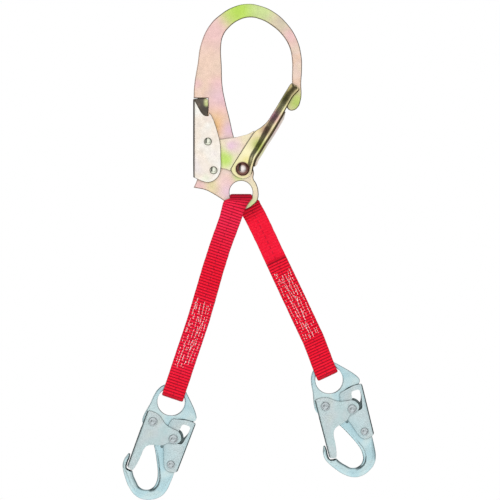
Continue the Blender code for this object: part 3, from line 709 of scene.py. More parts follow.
RIVET_SILVER = polished("rivet_silver", (0.52, 0.58, 0.60), 0.30)
RIVET_STEEL = polished("rivet_steel", (0.86, 0.88, 0.74), 0.10, (0.06, 0.07, 0.03))
RIVET_BROWN = polished("rivet_brown", (0.90, 0.82, 0.78), 0.10, (0.13, 0.035, 0.018), (0.006, 0.055))
RED = web_fabric("red_web")
WHITE = thread_mat("white_thread")
WIRE = spring_mat("spring_wire")

# ---------------------------------------------------------------- large hook
PLATE = 3.25 * MM
body_pts = [
    (247.1, 4.0), (260.5, 6.0), (273.9, 12.1), (287.3, 24.1), (296.7, 38.8),
    (301.4, 56.2), (301.9, 69.6), (301.1, 84.0), (301.4, 95.0), (300.3, 101.8),
    (298.0, 107.1), (292.7, 110.5), (287.9, 109.0), (286.9, 104.6), (289.8, 99.2),
    (292.4, 93.6), (292.2, 87.0), (292.0, 80.0), (291.6, 56.2), (288.7, 45.5), (282.0, 34.8), (272.6, 26.1),
    (260.5, 19.4), (249.8, 17.4), (239.1, 20.1), (228.4, 28.1), (223.0, 36.2),
    (221.2, 44.5), (221.7, 67.0), (222.6, 87.0), (225.7, 103.1), (229.7, 119.2),
    (233.7, 136.6), (237.5, 147.0), (244.0, 155.5), (250.5, 163.0), (253.9, 172.7),
    (253.4, 178.3), (256.4, 183.9), (258.5, 192.6), (257.4, 200.2), (252.9, 205.2),
    (247.0, 208.9), (240.6, 210.0), (234.0, 208.4), (228.6, 204.6), (223.8, 200.7),
    (213.6, 194.1), (205.4, 190.0), (193.7, 187.6, 1), (197.6, 178.0), (199.5, 166.0),
    (201.5, 150.0), (204.0, 133.0), (206.8, 118.0), (208.0, 108.4), (208.0, 98.2, 1),
    (193.6, 98.2, 1), (194.2, 85.7), (197.6, 64.3), (200.9, 44.2), (209.6, 25.4),
    (220.4, 14.7), (233.0, 7.2),
]
body = outline(HOOK, body_pts, PLATE, 1.35 * MM, res=10, seg=4)
eye_cut = merge(
    lathe([(0, 0.006), (11.6 * UNIT + 0.9 * MM + 2.75 * MM, 0.006), (11.6 * UNIT + 0.9 * MM, 3.25 * MM), (11.6 * UNIT + 0.35 * MM, 2.85 * MM),
           (11.6 * UNIT, 2.2 * MM), (11.6 * UNIT, -2.2 * MM), (11.6 * UNIT + 0.35 * MM, -2.85 * MM), (11.6 * UNIT + 0.9 * MM, -3.25 * MM),
           (11.6 * UNIT + 0.9 * MM + 2.75 * MM, -0.006), (0, -0.006)], 72))
eye_cut.transform(Matrix.Translation(W(*EYE)))
body = combine(body, eye_cut, "DIFFERENCE")
body = combine(body, round_bar(HOOK, GATE_AXIS, 2.8 * UNIT + 0.3 * MM, -0.01, 0.01), "DIFFERENCE")
body = combine(body, round_bar(HOOK, LEVER_AXIS, 2.0 * UNIT + 0.3 * MM, -0.01, 0.01), "DIFFERENCE")


def turn(p, c, a):
    x, y = p[0] - c[0], c[1] - p[1]
    return (c[0] + x * math.cos(a) - y * math.sin(a), c[1] - (x * math.sin(a) + y * math.cos(a)))


slot_path = [turn(PIN_AXIS, LEVER_AXIS, -math.radians(15) * q / 4) for q in range(5)]
slot = [(p[0], p[1] + 2.55) for p in slot_path] + [(slot_path[-1][0] - 2.5, slot_path[-1][1])]
slot += [(p[0], p[1] - 2.55) for p in slot_path[::-1]] + [(slot_path[0][0] + 2.5, slot_path[0][1])]
body = combine(body, outline(HOOK, slot, 0.01, 0.0, res=4), "DIFFERENCE")
put("hook_plate", body, HOOK, HOOK_MAT, "hook", "rebar_hook_body", slot="yellow_zinc")

# lock lever: folded channel, bend on the outer side, rear cheek reaching higher than the front one
LV_IN, LV_OUT = 5.8 * MM, 7.4 * MM
lever_front = [
    (193.2, 99.6, 1), (194.6, 101.1, 1), (207.6, 116.4, 1), (208.0, 108.6, 1), (209.6, 112.4),
    (211.6, 116.0), (214.9, 123.7), (217.5, 132.1), (220.2, 143.6), (220.8, 157.0),
    (220.8, 168.5), (219.6, 174.0), (215.4, 179.6), (209.0, 182.4), (204.6, 182.0),
    (193.4, 177.2, 1), (193.2, 160.0, 1)]
lever_front = [p for p in lever_front if p != (208.0, 108.6, 1)]
lever_front[2] = (207.9, 116.2)
lever_front.insert(3, (209.2, 112.8, 1))
lever_front.pop(4)
lever_rear = [
    (193.2, 98.8, 1), (207.2, 98.8), (208.2, 104.0), (209.6, 111.4),
    (211.6, 116.0), (214.9, 123.7), (217.5, 132.1), (220.2, 143.6), (220.8, 157.0),
    (220.8, 168.5), (219.6, 174.0), (215.4, 179.6), (209.0, 182.4), (204.6, 182.0),
    (193.4, 177.2, 1), (193.2, 160.0, 1)]
sheet = LV_OUT - LV_IN


def channel(fr, front, rear, y_in, y_out, wall, bend, edge, cut_poly, slab_poly, res=8, inner=1.0 * MM):
    """Folded sheet channel: solid outline, rounded over along the bend, hollowed from the open side."""
    half_f = outline(fr, front, (y_out + 0.0) / 2 + 0.15 * MM, edge, res=res, y=-(y_out) / 2 + 0.15 * MM)
    half_r = outline(fr, rear, (y_out + 0.0) / 2 + 0.15 * MM, edge, res=res, y=(y_out) / 2 - 0.15 * MM)
    solid = combine(half_f, half_r, "UNION")
    solid = combine(solid, outline(fr, slab_poly, y_out + 0.01 * MM, bend, res=1, seg=4), "INTERSECT")
    return combine(solid, outline(fr, cut_poly, y_in, inner, res=1, seg=2), "DIFFERENCE")


lever = channel(
    HOOK, lever_front, lever_rear, LV_IN, LV_OUT, 1.4 * MM, 2.6 * MM, 0.6 * MM,
    [(194.7, 80.0, 1), (194.7, 195.0, 1), (240.0, 195.0, 1), (240.0, 80.0, 1)],
    [(193.22, 70.0, 1), (193.22, 205.0, 1), (250.0, 205.0, 1), (250.0, 70.0, 1)])
# the top of the fold is cut away, so that the lever clears the plate when it is squeezed
lever = combine(lever, outline(HOOK, [(190.0, 94.0, 1), (196.8, 94.0, 1), (196.8, 102.2, 1), (190.0, 102.2, 1)], 4.0 * MM, 0.0, res=1), "DIFFERENCE")
lever = combine(lever, round_bar(HOOK, LEVER_AXIS, 2.0 * UNIT + 0.3 * MM, -0.01, 0.01), "DIFFERENCE")
lever = combine(lever, round_bar(HOOK, PIN_AXIS, 2.0 * UNIT + 0.2 * MM, -0.01, 0.01), "DIFFERENCE")
put("lever_channel", lever, HOOK, LEVER_MAT, "rebar_lever_arm", "rebar_lock_lever", slot="yellow_zinc")

# gate: two pressed cheeks, bulged over the pivot arm, joined by a folded back
SECT = [
    ((291.6, 83.3), (297.6, 87.2)), ((289.9, 84.9), (299.2, 89.8)), ((287.6, 88.6), (296.6, 92.9)),
    ((284.6, 93.4), (292.6, 97.4)), ((279.6, 101.8), (287.9, 105.6)), ((273.2, 112.4), (281.4, 117.3)),
    ((267.2, 121.6), (275.0, 128.4)), ((260.6, 127.6), (269.6, 137.2)), ((255.2, 131.4), (265.2, 144.0)),
    ((248.8, 140.4), (260.2, 152.2)), ((243.4, 148.8), (256.0, 159.0)), ((238.0, 157.2), (253.8, 166.2)),
    ((233.0, 165.2), (252.4, 172.0)), ((230.9, 169.8), (250.4, 175.4)), ((233.2, 174.2), (247.0, 177.5)),
    ((237.8, 177.3), (243.4, 178.6))]


def catmull(vals, n):
    """Smooth samples through a list of numpy points, n per span."""
    v = [2 * vals[0] - vals[1], *vals, 2 * vals[-1] - vals[-2]]
    out = []
    for i in range(1, len(v) - 2):
        for k in range(n):
            t = k / n
            a, b, c, d = v[i - 1], v[i], v[i + 1], v[i + 2]
            out.append(0.5 * ((2 * b) + (c - a) * t + (2 * a - 5 * b + 4 * c - d) * t * t + (3 * b - a - 3 * c + d) * t ** 3))
    out.append(v[-2])
    return out


def cheek(side, thick=1.3 * MM, grow=0.0):
    """Pressed cheek: flat by the tail, then a slope up to a narrow crest beside the back, then a steep fall."""
    ls = catmull([np.array(a) for a, b in SECT], 6)
    rs = catmull([np.array(b) for a, b in SECT], 6)
    low, top, foot = 5.30, 6.9, 4.4
    bm = bmesh.new()
    rows = []
    m = len(ls)
    for i, (a, b) in enumerate(zip(ls, rs)):
        t = i / (m - 1) * (len(SECT) - 1)
        d = b - a
        w = np.linalg.norm(d)
        d = d / w
        # widths from the outer edge inwards: fall, crest, slope
        taper = min(1.0, max(0.0, (12.6 - t) / 2.4))
        lift = (top - low) * taper
        wide_ = float(smooth(t, 3.5, 6.5))
        fall = min(0.9 + 0.5 * wide_, 0.24 * w)
        crest = min(1.0 + 0.8 * wide_, 0.22 * w)
        low_part = float(smooth(t, 6.0, 11.0))
        slope = min(6.6 - 1.6 * low_part, w - fall - crest - 0.8)
        foot_y = foot if t < 12.6 else foot + 0.5
        n0 = w - fall - crest - slope
        ends = [(0.0, low - 0.9), (0.18, low - 0.35), (0.5, low - 0.04), (0.8, low)]
        ends += [(0.8 + (n0 - 0.8) * q / 3, low) for q in (1, 2, 3)] if n0 > 1.0 else []
        x0 = max(n0, 0.8)
        slope = w - fall - crest - x0
        for q in range(1, 8):
            s_ = q / 7
            ends.append((x0 + slope * s_, low + lift * (s_ - 0.05 * math.sin(2 * math.pi * s_)) ** (1.0 + 0.9 * low_part)))
        ends += [(w - fall - crest * 0.66, low + lift * 1.02), (w - fall - crest * 0.33, low + lift * 1.02), (w - fall, low + lift)]
        reach = fall + grow * min(1.0, max(0.0, (t - 3.6) / 0.8)) * min(1.0, max(0.0, (10.6 - t) / 0.8))
        for q in range(1, 6):
            s_ = q / 5
            ends.append((w - fall + reach * s_ ** 0.9, low + lift - (low + lift - foot_y) * s_ ** 1.15))
        vs = []
        for n, y in ends:
            pt = a + d * n
            vs.append(bm.verts.new(HOOK.p(pt[0], pt[1], side * y * MM)))
        rows.append(vs)
    cols = min(len(r) for r in rows)
    for r, s_ in zip(rows, rows[1:]):
        if len(r) != len(s_):
            r, s_ = r[:4] + r[-15:], s_[:4] + s_[-15:]
        for x in range(len(r) - 1):
            bm.faces.new((r[x], r[x + 1], s_[x + 1], s_[x]))
    bmesh.ops.delete(bm, geom=[v for v in bm.verts if not v.link_faces], context="VERTS")
    bmesh.ops.recalc_face_normals(bm, faces=bm.faces)
    if sum(f.normal.y * f.calc_area() for f in bm.faces) * side < 0:
        bmesh.ops.reverse_faces(bm, faces=bm.faces)
    me = bpy.data.meshes.new("cheek")
    bm.to_mesh(me)
    bm.free()
    return solid_shell(me, thick)


def solid_shell(me, thick, offset=-1.0):
    o = bpy.data.objects.new("shell", me)
    scene.collection.objects.link(o)
    s = o.modifiers.new("thick", "SOLIDIFY")
    s.thickness = thick
    s.offset = offset
    s.use_even_offset = False
    bpy.context.view_layer.update()
    out = bpy.data.meshes.new_from_object(o.evaluated_get(bpy.context.evaluated_depsgraph_get()))
    bpy.data.objects.remove(o, do_unlink=True)
    return out


def edge_strip():
    """Rear cheek's hem, standing out past the back as a thin flat flange."""
    rs = catmull([np.array(b) for a, b in SECT], 6)
    ls = catmull([np.array(a) for a, b in SECT], 6)
    bm = bmesh.new()
    rows = []
    lo_i, hi_i = int(4.5 * 6), int(11.3 * 6)
    for i in range(lo_i, hi_i):
        a, b = ls[i], rs[i]
        d = (b - a) / np.linalg.norm(b - a)
        e = min(1.0, (i - lo_i) / 3.0, (hi_i - 1 - i) / 3.0)
        row = []
        for n, y in ((-1.6, 4.92), (0.1, 4.92), (0.75, 4.95), (0.95, 5.20), (2.1 * e + 1.0, 5.3)):
            pt = b + d * n
            row.append(bm.verts.new(HOOK.p(pt[0], pt[1], y * MM)))
        rows.append(row)
    for r, s_ in zip(rows, rows[1:]):
        for x in range(4):
            bm.faces.new((r[x], r[x + 1], s_[x + 1], s_[x]))
    bmesh.ops.recalc_face_normals(bm, faces=bm.faces)
    if sum(f.normal.y for f in bm.faces) > 0:
        bmesh.ops.reverse_faces(bm, faces=bm.faces)
    me = bpy.data.meshes.new("hem")
    bm.to_mesh(me)
    bm.free()
    return solid_shell(me, 1.0 * MM)


def back_strip():
    """Folded back between the cheeks, set a little in from their crests."""
    rs = catmull([np.array(b) for a, b in SECT], 6)
    ls = catmull([np.array(a) for a, b in SECT], 6)
    bm = bmesh.new()
    rows = []
    for i in range(int(4.6 * 6), int(10.2 * 6)):
        a, b = ls[i], rs[i]
        d = (b - a) / np.linalg.norm(b - a)
        row = []
        for q in range(9):
            y = (-4.6 + 9.2 * q / 8) * MM
            inset = 1.3 * MM / UNIT
            p = b - d * inset
            row.append(bm.verts.new(HOOK.p(p[0], p[1], y)))
        rows.append(row)
    for r, s in zip(rows, rows[1:]):
        for x in range(8):
            bm.faces.new((r[x], r[x + 1], s[x + 1], s[x]))
    bmesh.ops.recalc_face_normals(bm, faces=bm.faces)
    if sum((f.normal.x - f.normal.z) for f in bm.faces) < 0:
        bmesh.ops.reverse_faces(bm, faces=bm.faces)
    me = bpy.data.meshes.new("back")
    bm.to_mesh(me)
    bm.free()
    return solid_shell(me, 1.2 * MM)


arm = merge(cheek(-1), cheek(1), back_strip())
put("gate_hem", edge_strip(), HOOK, HEM_MAT, "rebar_gate_arm", slot="yellow_zinc", sharp=35, weighted=False)
put("gate_arm", arm, HOOK, GATE_MAT, "rebar_gate_arm", "rebar_gate", slot="yellow_zinc", sharp=28, weighted=False)
tail_pts = [
    (217.0, 141.6), (224.6, 139.1), (233.4, 138.0), (241.8, 135.9), (247.9, 134.2),
    (254.4, 130.6, 1), (251.6, 135.1, 1), (243.1, 148.3, 1), (230.6, 168.9, 1), (230.4, 170.4),
    (226.5, 169.2), (221.5, 168.2), (217.6, 166.6), (216.0, 160.0), (215.8, 148.0)]
under_pts = [(224.0, 142.0), (247.9, 136.0), (258.0, 131.5), (250.0, 147.0), (240.6, 161.0), (234.0, 169.0), (228.0, 168.0), (224.0, 160.0)]
tails = merge(*[m_ for sy in (-1, 1) for m_ in (
    outline(HOOK, tail_pts, 0.80 * MM, 0.35 * MM, y=sy * 4.45 * MM),
    outline(HOOK, under_pts, 0.35 * MM, 0.0, y=sy * 3.98 * MM))])
put("gate_tail", tails, HOOK, TAIL_MAT, "rebar_gate_arm", slot="yellow_zinc")


def ring_profile(r, y, h, shaft):
    """Low upset head: raised centre, shallow groove, rounded rim."""
    half = [(0.0, y + 0.92 * h), (0.20 * r, y + 0.90 * h), (0.36 * r, y + 0.80 * h), (0.48 * r, y + 0.58 * h), (0.58 * r, y + 0.52 * h),
            (0.68 * r, y + 0.70 * h), (0.78 * r, y + 0.92 * h), (0.88 * r, y + 0.95 * h), (0.95 * r, y + 0.78 * h), (r, y + 0.45 * h), (r, y), (shaft, y)]
    return half + [(a, -b) for a, b in half[::-1]]


def rivet(name, fr, at, head, y, h, shaft, mat, body, node, rim=None, slot="silver_zinc", flat=0.0):
    if flat:
        me = lathe(ring_profile(head * UNIT, y, h, shaft * UNIT))
    else:
        me = lathe(dome_profile(head * UNIT, y, h, shaft * UNIT, rim * UNIT if rim else None))
    put(name, me, fr, mat, body, node, slot=slot, weighted=False, sharp=35, origin=None)
    o = bpy.data.objects[name]
    return o


def rivet_at(name, fr, at, *a, **k):
    """Rivet whose object origin sits on its own axis."""
    sub = Frame(HX, HY, 0, HX, HY)
    sub.mat = fr.mat @ Matrix.Translation(fr.p(*at))
    return rivet(name, sub, at, *a, **k)


rivet_at("gate_rivet", HOOK, GATE_AXIS, 6.0, 7.0 * MM, 3.3 * MM, 2.8, RIVET_BROWN, "hook", "rebar_gate_rivet", rim=7.0, slot="bare_rivet")
rivet_at("lever_rivet", HOOK, LEVER_AXIS, 3.8, 7.45 * MM, 2.1 * MM, 2.0, RIVET_STEEL, "hook", "rebar_lever_rivet", slot="bare_rivet")
rivet_at("lock_pin", HOOK, PIN_AXIS, 3.8, 7.45 * MM, 2.1 * MM, 2.0, RIVET_STEEL, "rebar_lever_arm", "rebar_lock_pin", slot="bare_rivet")

# ---------------------------------------------------------------- snap hooks
snap_body_pts = [
    (0.0, -18.0), (8.0, -16.1), (12.5, -12.6), (29.0, 4.7), (29.7, 7.3), (28.3, 10.6),
    (25.0, 11.8), (19.0, 12.2), (13.6, 14.4), (12.2, 18.0), (12.2, 30.0), (12.4, 38.6), (15.0, 41.2),
    (19.5, 42.2), (23.0, 45.6), (26.2, 52.0), (28.2, 59.0), (28.5, 66.0), (28.4, 76.5),
    (27.5, 85.2), (24.5, 92.0), (18.0, 97.7), (8.5, 101.2), (0.5, 100.4), (-8.0, 95.5),
    (-15.0, 88.2), (-20.0, 81.4), (-22.6, 76.2), (-23.1, 70.6), (-22.2, 66.4), (-20.2, 63.0), (-19.0, 65.4),
    (-18.7, 73.4), (-17.6, 77.6), (-15.6, 78.2, 1), (-11.4, 78.4, 1), (-8.6, 82.4), (-4.0, 87.0), (1.5, 91.2),
    (8.8, 91.0), (13.8, 86.5), (15.0, 80.0), (13.3, 72.0), (8.0, 60.9), (2.0, 50.4),
    (-3.0, 43.0), (-6.4, 35.4), (-10.4, 34.6), (-15.4, 33.2), (-18.8, 30.2), (-20.5, 26.4),
    (-20.8, 22.6), (-20.2, 17.0), (-18.9, 9.0), (-18.3, 0.0), (-16.3, -8.0), (-11.6, -14.0),
    (-6.0, -17.0),
]
bend_pts = [
    (14.6, 75.0), (17.0, 70.6), (22.0, 68.6), (28.2, 70.2), (28.5, 76.5), (27.6, 85.2), (24.6, 92.1), (18.1, 97.9),
    (8.5, 101.4), (0.4, 100.6), (-8.1, 95.7), (-15.1, 88.4), (-18.9, 82.6), (-14.6, 80.4),
    (-8.7, 82.2), (-3.9, 86.7), (1.6, 90.9), (8.6, 90.7), (13.5, 86.3), (14.7, 80.0),
]
S_LV_IN, S_LV_OUT = 3.6 * MM, 4.9 * MM
S_GT_IN, S_GT_OUT = 5.2 * MM, 6.5 * MM
s_lever_pts = [
    (31.1, 13.0, 1), (30.4, 11.7, 1), (24.0, 11.3), (17.6, 12.6), (11.0, 14.5), (7.8, 15.6),
    (6.6, 19.0), (5.9, 24.0), (5.6, 30.0), (6.6, 37.0), (9.6, 44.9), (12.6, 52.4), (15.6, 60.2),
    (18.6, 64.6), (22.6, 66.0), (26.6, 65.2), (30.2, 63.6), (31.1, 62.0, 1),
]
s_gate_pts = [
    (-18.9, 17.6), (-17.6, 16.4), (-12.4, 15.8), (-7.4, 16.4), (-2.0, 19.4), (2.0, 22.2),
    (5.7, 23.6), (11.6, 24.5), (17.6, 25.2), (21.4, 28.2), (22.9, 32.9), (20.6, 36.6),
    (16.4, 38.0), (12.4, 39.0), (7.9, 43.2), (2.8, 45.4), (-2.4, 47.0), (-6.4, 49.6),
    (-8.2, 53.0), (-8.9, 62.0), (-9.4, 69.0), (-10.4, 74.4), (-11.9, 77.4), (-14.6, 77.0),
    (-17.5, 75.6), (-18.1, 70.0), (-18.6, 52.0), (-18.9, 34.0),
]
# thumb window of the lock lever: the rear cheek's opening is the smaller one
window_front = [
    (19.3, 17.2), (23.0, 16.4), (26.4, 16.8), (27.6, 20.6), (27.4, 25.0), (26.6, 30.0),
    (24.9, 35.6), (22.0, 36.6), (16.6, 36.9), (13.8, 36.3), (12.7, 33.6), (14.0, 30.6), (17.2, 26.4), (18.2, 22.6)]
window_rear = [
    (19.3, 17.2), (23.0, 16.4), (26.4, 16.8), (27.5, 20.6), (26.8, 25.0), (24.2, 30.0),
    (19.8, 34.6), (16.6, 36.9), (13.8, 36.3), (12.7, 33.6), (14.0, 30.6), (17.2, 26.4), (18.2, 22.6)]
# the gate's rear lobe reaches a little further than its front one
wider = {(17.6, 25.2): (18.3, 23.6), (21.4, 28.2): (23.1, 26.8), (22.9, 32.9): (24.9, 32.8), (20.6, 36.6): (21.8, 37.8)}
s_gate_rear = [wider.get(p, p) for p in s_gate_pts]


def ring_cut(fr, at, r, chamfer, half):
    me = lathe([(0, 0.012), (r + chamfer + (0.012 - half), 0.012), (r + chamfer, half), (r + 0.4 * chamfer, half - 0.45 * chamfer),
                (r, half - chamfer), (r, -half + chamfer), (r + 0.4 * chamfer, -half + 0.45 * chamfer), (r + chamfer, -half),
                (r + chamfer + (0.012 - half), -0.012), (0, -0.012)], 72)
    me.transform(Matrix.Translation(fr.p(*at)))
    return me


def snap(side):
    fr = Frame(*SNAP[side])
    pre = side + "_snap_"
    def thick(p, g):
        u, v = p[:, 0] / UNIT, -p[:, 1] / UNIT
        w = smooth(v, 63.0, 78.0)
        w = np.maximum(w, smooth(-u, 12.0, 16.0) * smooth(v, 58.0, 66.0))
        bar = smooth(v, 44.0, 56.0) * smooth(17.0 - u + 0.25 * (v - 60.0), 0.0, 5.0)
        full = (3.25 + 1.35 * w) * MM
        reach = (1.25 + 3.6 * w + 2.2 * bar * (1 - w)) * MM
        fall = (1.15 + 2.3 * w + 0.8 * bar * (1 - w)) * MM
        t = np.clip(g / reach, 0, 1)
        return full - fall + fall * np.sqrt(np.clip(1 - (1 - t) ** 2, 0, 1))
    hole = 2.2 * UNIT + 0.3 * MM
    b = inflate([loop_of(fr, snap_body_pts, 12, 0.55 * MM), circle_loop(fr, 0, 0, 13.75 * UNIT, 0.7 * MM)], thick)
    b = combine(b, round_bar(fr, (7.4, 45.0), 1.5 * UNIT, -0.01, 1.0 * MM, 24), "DIFFERENCE")
    b = combine(b, round_bar(fr, S_GATE_AXIS, hole, -0.01, 0.01, 32), "DIFFERENCE")
    b = combine(b, round_bar(fr, S_LEVER_AXIS, 1.9 * UNIT + 0.3 * MM, -0.01, 0.01, 32), "DIFFERENCE")
    b = combine(b, round_bar(fr, S_LEVER_AXIS, 5.4 * UNIT, 1.3 * MM, 0.01, 40), "DIFFERENCE")
    put(pre + "forging", b, fr, ZINC_BODY, side + "_snap", pre + "body", slot="silver_zinc", sharp=50)
    lv = channel(fr, s_lever_pts, s_lever_pts, S_LV_IN, S_LV_OUT, 1.3 * MM, 2.0 * MM, 0.28 * MM,
                 [(29.9, 0.0, 1), (29.9, 80.0, 1), (-5.0, 80.0, 1), (-5.0, 0.0, 1)],
                 [(31.08, -10.0, 1), (31.08, 90.0, 1), (-20.0, 90.0, 1), (-20.0, -10.0, 1)])
    lv = combine(lv, outline(fr, [(40.0, 0.0, 1), (40.0, 13.4, 1), (28.0, 13.4, 1), (27.0, 0.0, 1)], S_LV_IN, 0.0, res=1), "DIFFERENCE")
    lv = combine(lv, outline(fr, window_front, 0.0100, 0.0, res=6, y=-0.0101), "DIFFERENCE")
    lv = combine(lv, outline(fr, window_rear, 0.0100, 0.0, res=6, y=0.0101), "DIFFERENCE")
    lv = combine(lv, round_bar(fr, S_LEVER_AXIS, 1.9 * UNIT + 0.3 * MM, -0.01, 0.01, 32), "DIFFERENCE")
    put(pre + "lever_channel", lv, fr, ZINC_LEVER, side + "_snap_lever_arm", pre + "lock_lever", slot="silver_zinc")
    g = channel(fr, s_gate_pts, s_gate_rear, S_GT_IN, S_GT_OUT, 1.3 * MM, 2.2 * MM, 0.28 * MM,
                [(-30.0, 5.0, 1), (-30.0, 34.6, 1), (-17.6, 34.6, 1), (-17.0, 60.0, 1), (-16.7, 76.3, 1), (-20.0, 90.0, 1),
                 (40.0, 90.0, 1), (40.0, 5.0, 1)],
                [(-19.1, -10.0, 1), (-18.86, 34.0, 1), (-18.1, 70.0, 1), (-17.6, 95.0, 1), (50.0, 95.0, 1), (50.0, -10.0, 1)], inner=0.0)
    g = combine(g, round_bar(fr, S_GATE_AXIS, 2.2 * UNIT + 0.3 * MM, -0.01, 0.01, 32), "DIFFERENCE")
    g = combine(g, round_bar(fr, S_PIN_AXIS, 2.0 * UNIT + 0.2 * MM, -0.01, 0.01, 32), "DIFFERENCE")
    put(pre + "gate_channel", g, fr, ZINC_GATE, side + "_snap_gate_arm", pre + "gate", slot="silver_zinc")
    rivet_at(pre + "gate_pivot", fr, S_GATE_AXIS, 4.3, 6.55 * MM, 1.2 * MM, 2.2, RIVET_SILVER, side + "_snap", pre + "gate_rivet", flat=1.2)
    rivet_at(pre + "lock_rivet", fr, S_PIN_AXIS, 4.5, 6.55 * MM, 1.2 * MM, 2.0, RIVET_SILVER, side + "_snap_gate_arm", pre + "lock_pin", flat=1.0)
    rivet_at(pre + "lever_pivot", fr, S_LEVER_AXIS, 3.8, 4.95 * MM, 1.2 * MM, 1.9, RIVET_SILVER, side + "_snap", pre + "lever_rivet", flat=1.0)


snap("left")
snap("right")

# ---------------------------------------------------------------- strap
WEB_HALF = 11.0
BOW = {"left": ((0, 0.0), (12, -0.9), (20, -1.5), (34, -1.9), (58, -2.6), (86, -2.0), (110, -0.9), (135, 0.0), (400, 0.0)),
       "right": ((0, 0.0), (12, 1.6), (24, 2.6), (34, 2.95), (165, 2.95), (182, 1.6), (196, 0.5), (400, 0.5))}


def bow(side, v):
    """Sideways place of the strap's middle at a distance v down the leg."""
    return float(np.interp(v, [a for a, _ in BOW[side]], [b for _, b in BOW[side]]))


WEB_T = 2.7 * MM
RIB = 3.42 * MM
STEP = 0.5 * MM


def strap_path(side):
    """Stations (left end, right end) of the strap's middle surface, in the leg's frame."""
    deg, eye_v = LEG[side]
    f = -1 if side == "left" else 1
    a = math.radians(deg)
    st = []
    for drop, y, hw in ((2.6, 0.15, 10.9), (2.62, 1.2, 10.9), (2.75, 2.4, 10.95), (3.3, 3.7, 11.0), (4.4, 4.7, 11.1), (6.0, 5.12, 11.3)):
        ends = []
        for x in (-hw, hw):
            ends.append(((x * math.cos(a) - drop * math.sin(a)), f * y, (x * math.sin(a) + drop * math.cos(a))))
        st.append(ends)
    tip = 5.0 * math.sin(a)
    wing = 1.5 if side == "left" else 0.4
    st.append([(bow(side, 12) - 10.9 - wing, f * 5.2, 12.0 - tip), (bow(side, 12) + 10.9, f * 5.2, 12.0 + tip)])

    def row(v, y):
        c = bow(side, v)
        half = WEB_HALF - 0.35 * max(0.0, 1 - abs(v - 58) / 55)
        st.append([(c - half, f * y, v), (c + half, f * y, v)])
    st.append([(bow(side, 20) - WEB_HALF - 0.6 * wing, f * 5.2, 19.0), (bow(side, 20) + WEB_HALF - 0.3, f * 5.2, 19.0)])
    for v in np.arange(30.0, eye_v - 28.0, 9.0):
        row(float(v), 5.2)
    for dv, y in ((24.0, 5.2), (14.0, 5.2), (10.0, 5.17), (7.4, 4.85), (5.4, 3.9), (4.4, 2.3), (4.15, 0.0), (4.4, -2.3),
                  (5.4, -3.9), (7.4, -4.85), (10.0, -5.17), (14.0, -5.2), (19.6, -5.2), (23.0, -4.75), (29.0, -2.8), (36.0, -0.6),
                  (42.0, 1.2), (46.0, 1.95), (50.0, 2.15)):
        row(eye_v - dv, y)
    end_v = 110.0 if side == "left" else 76.5
    for v in np.arange(eye_v - 58.0, end_v + 4.0, -9.0):
        row(float(v), 2.2)
    row(end_v, 2.2)
    return st


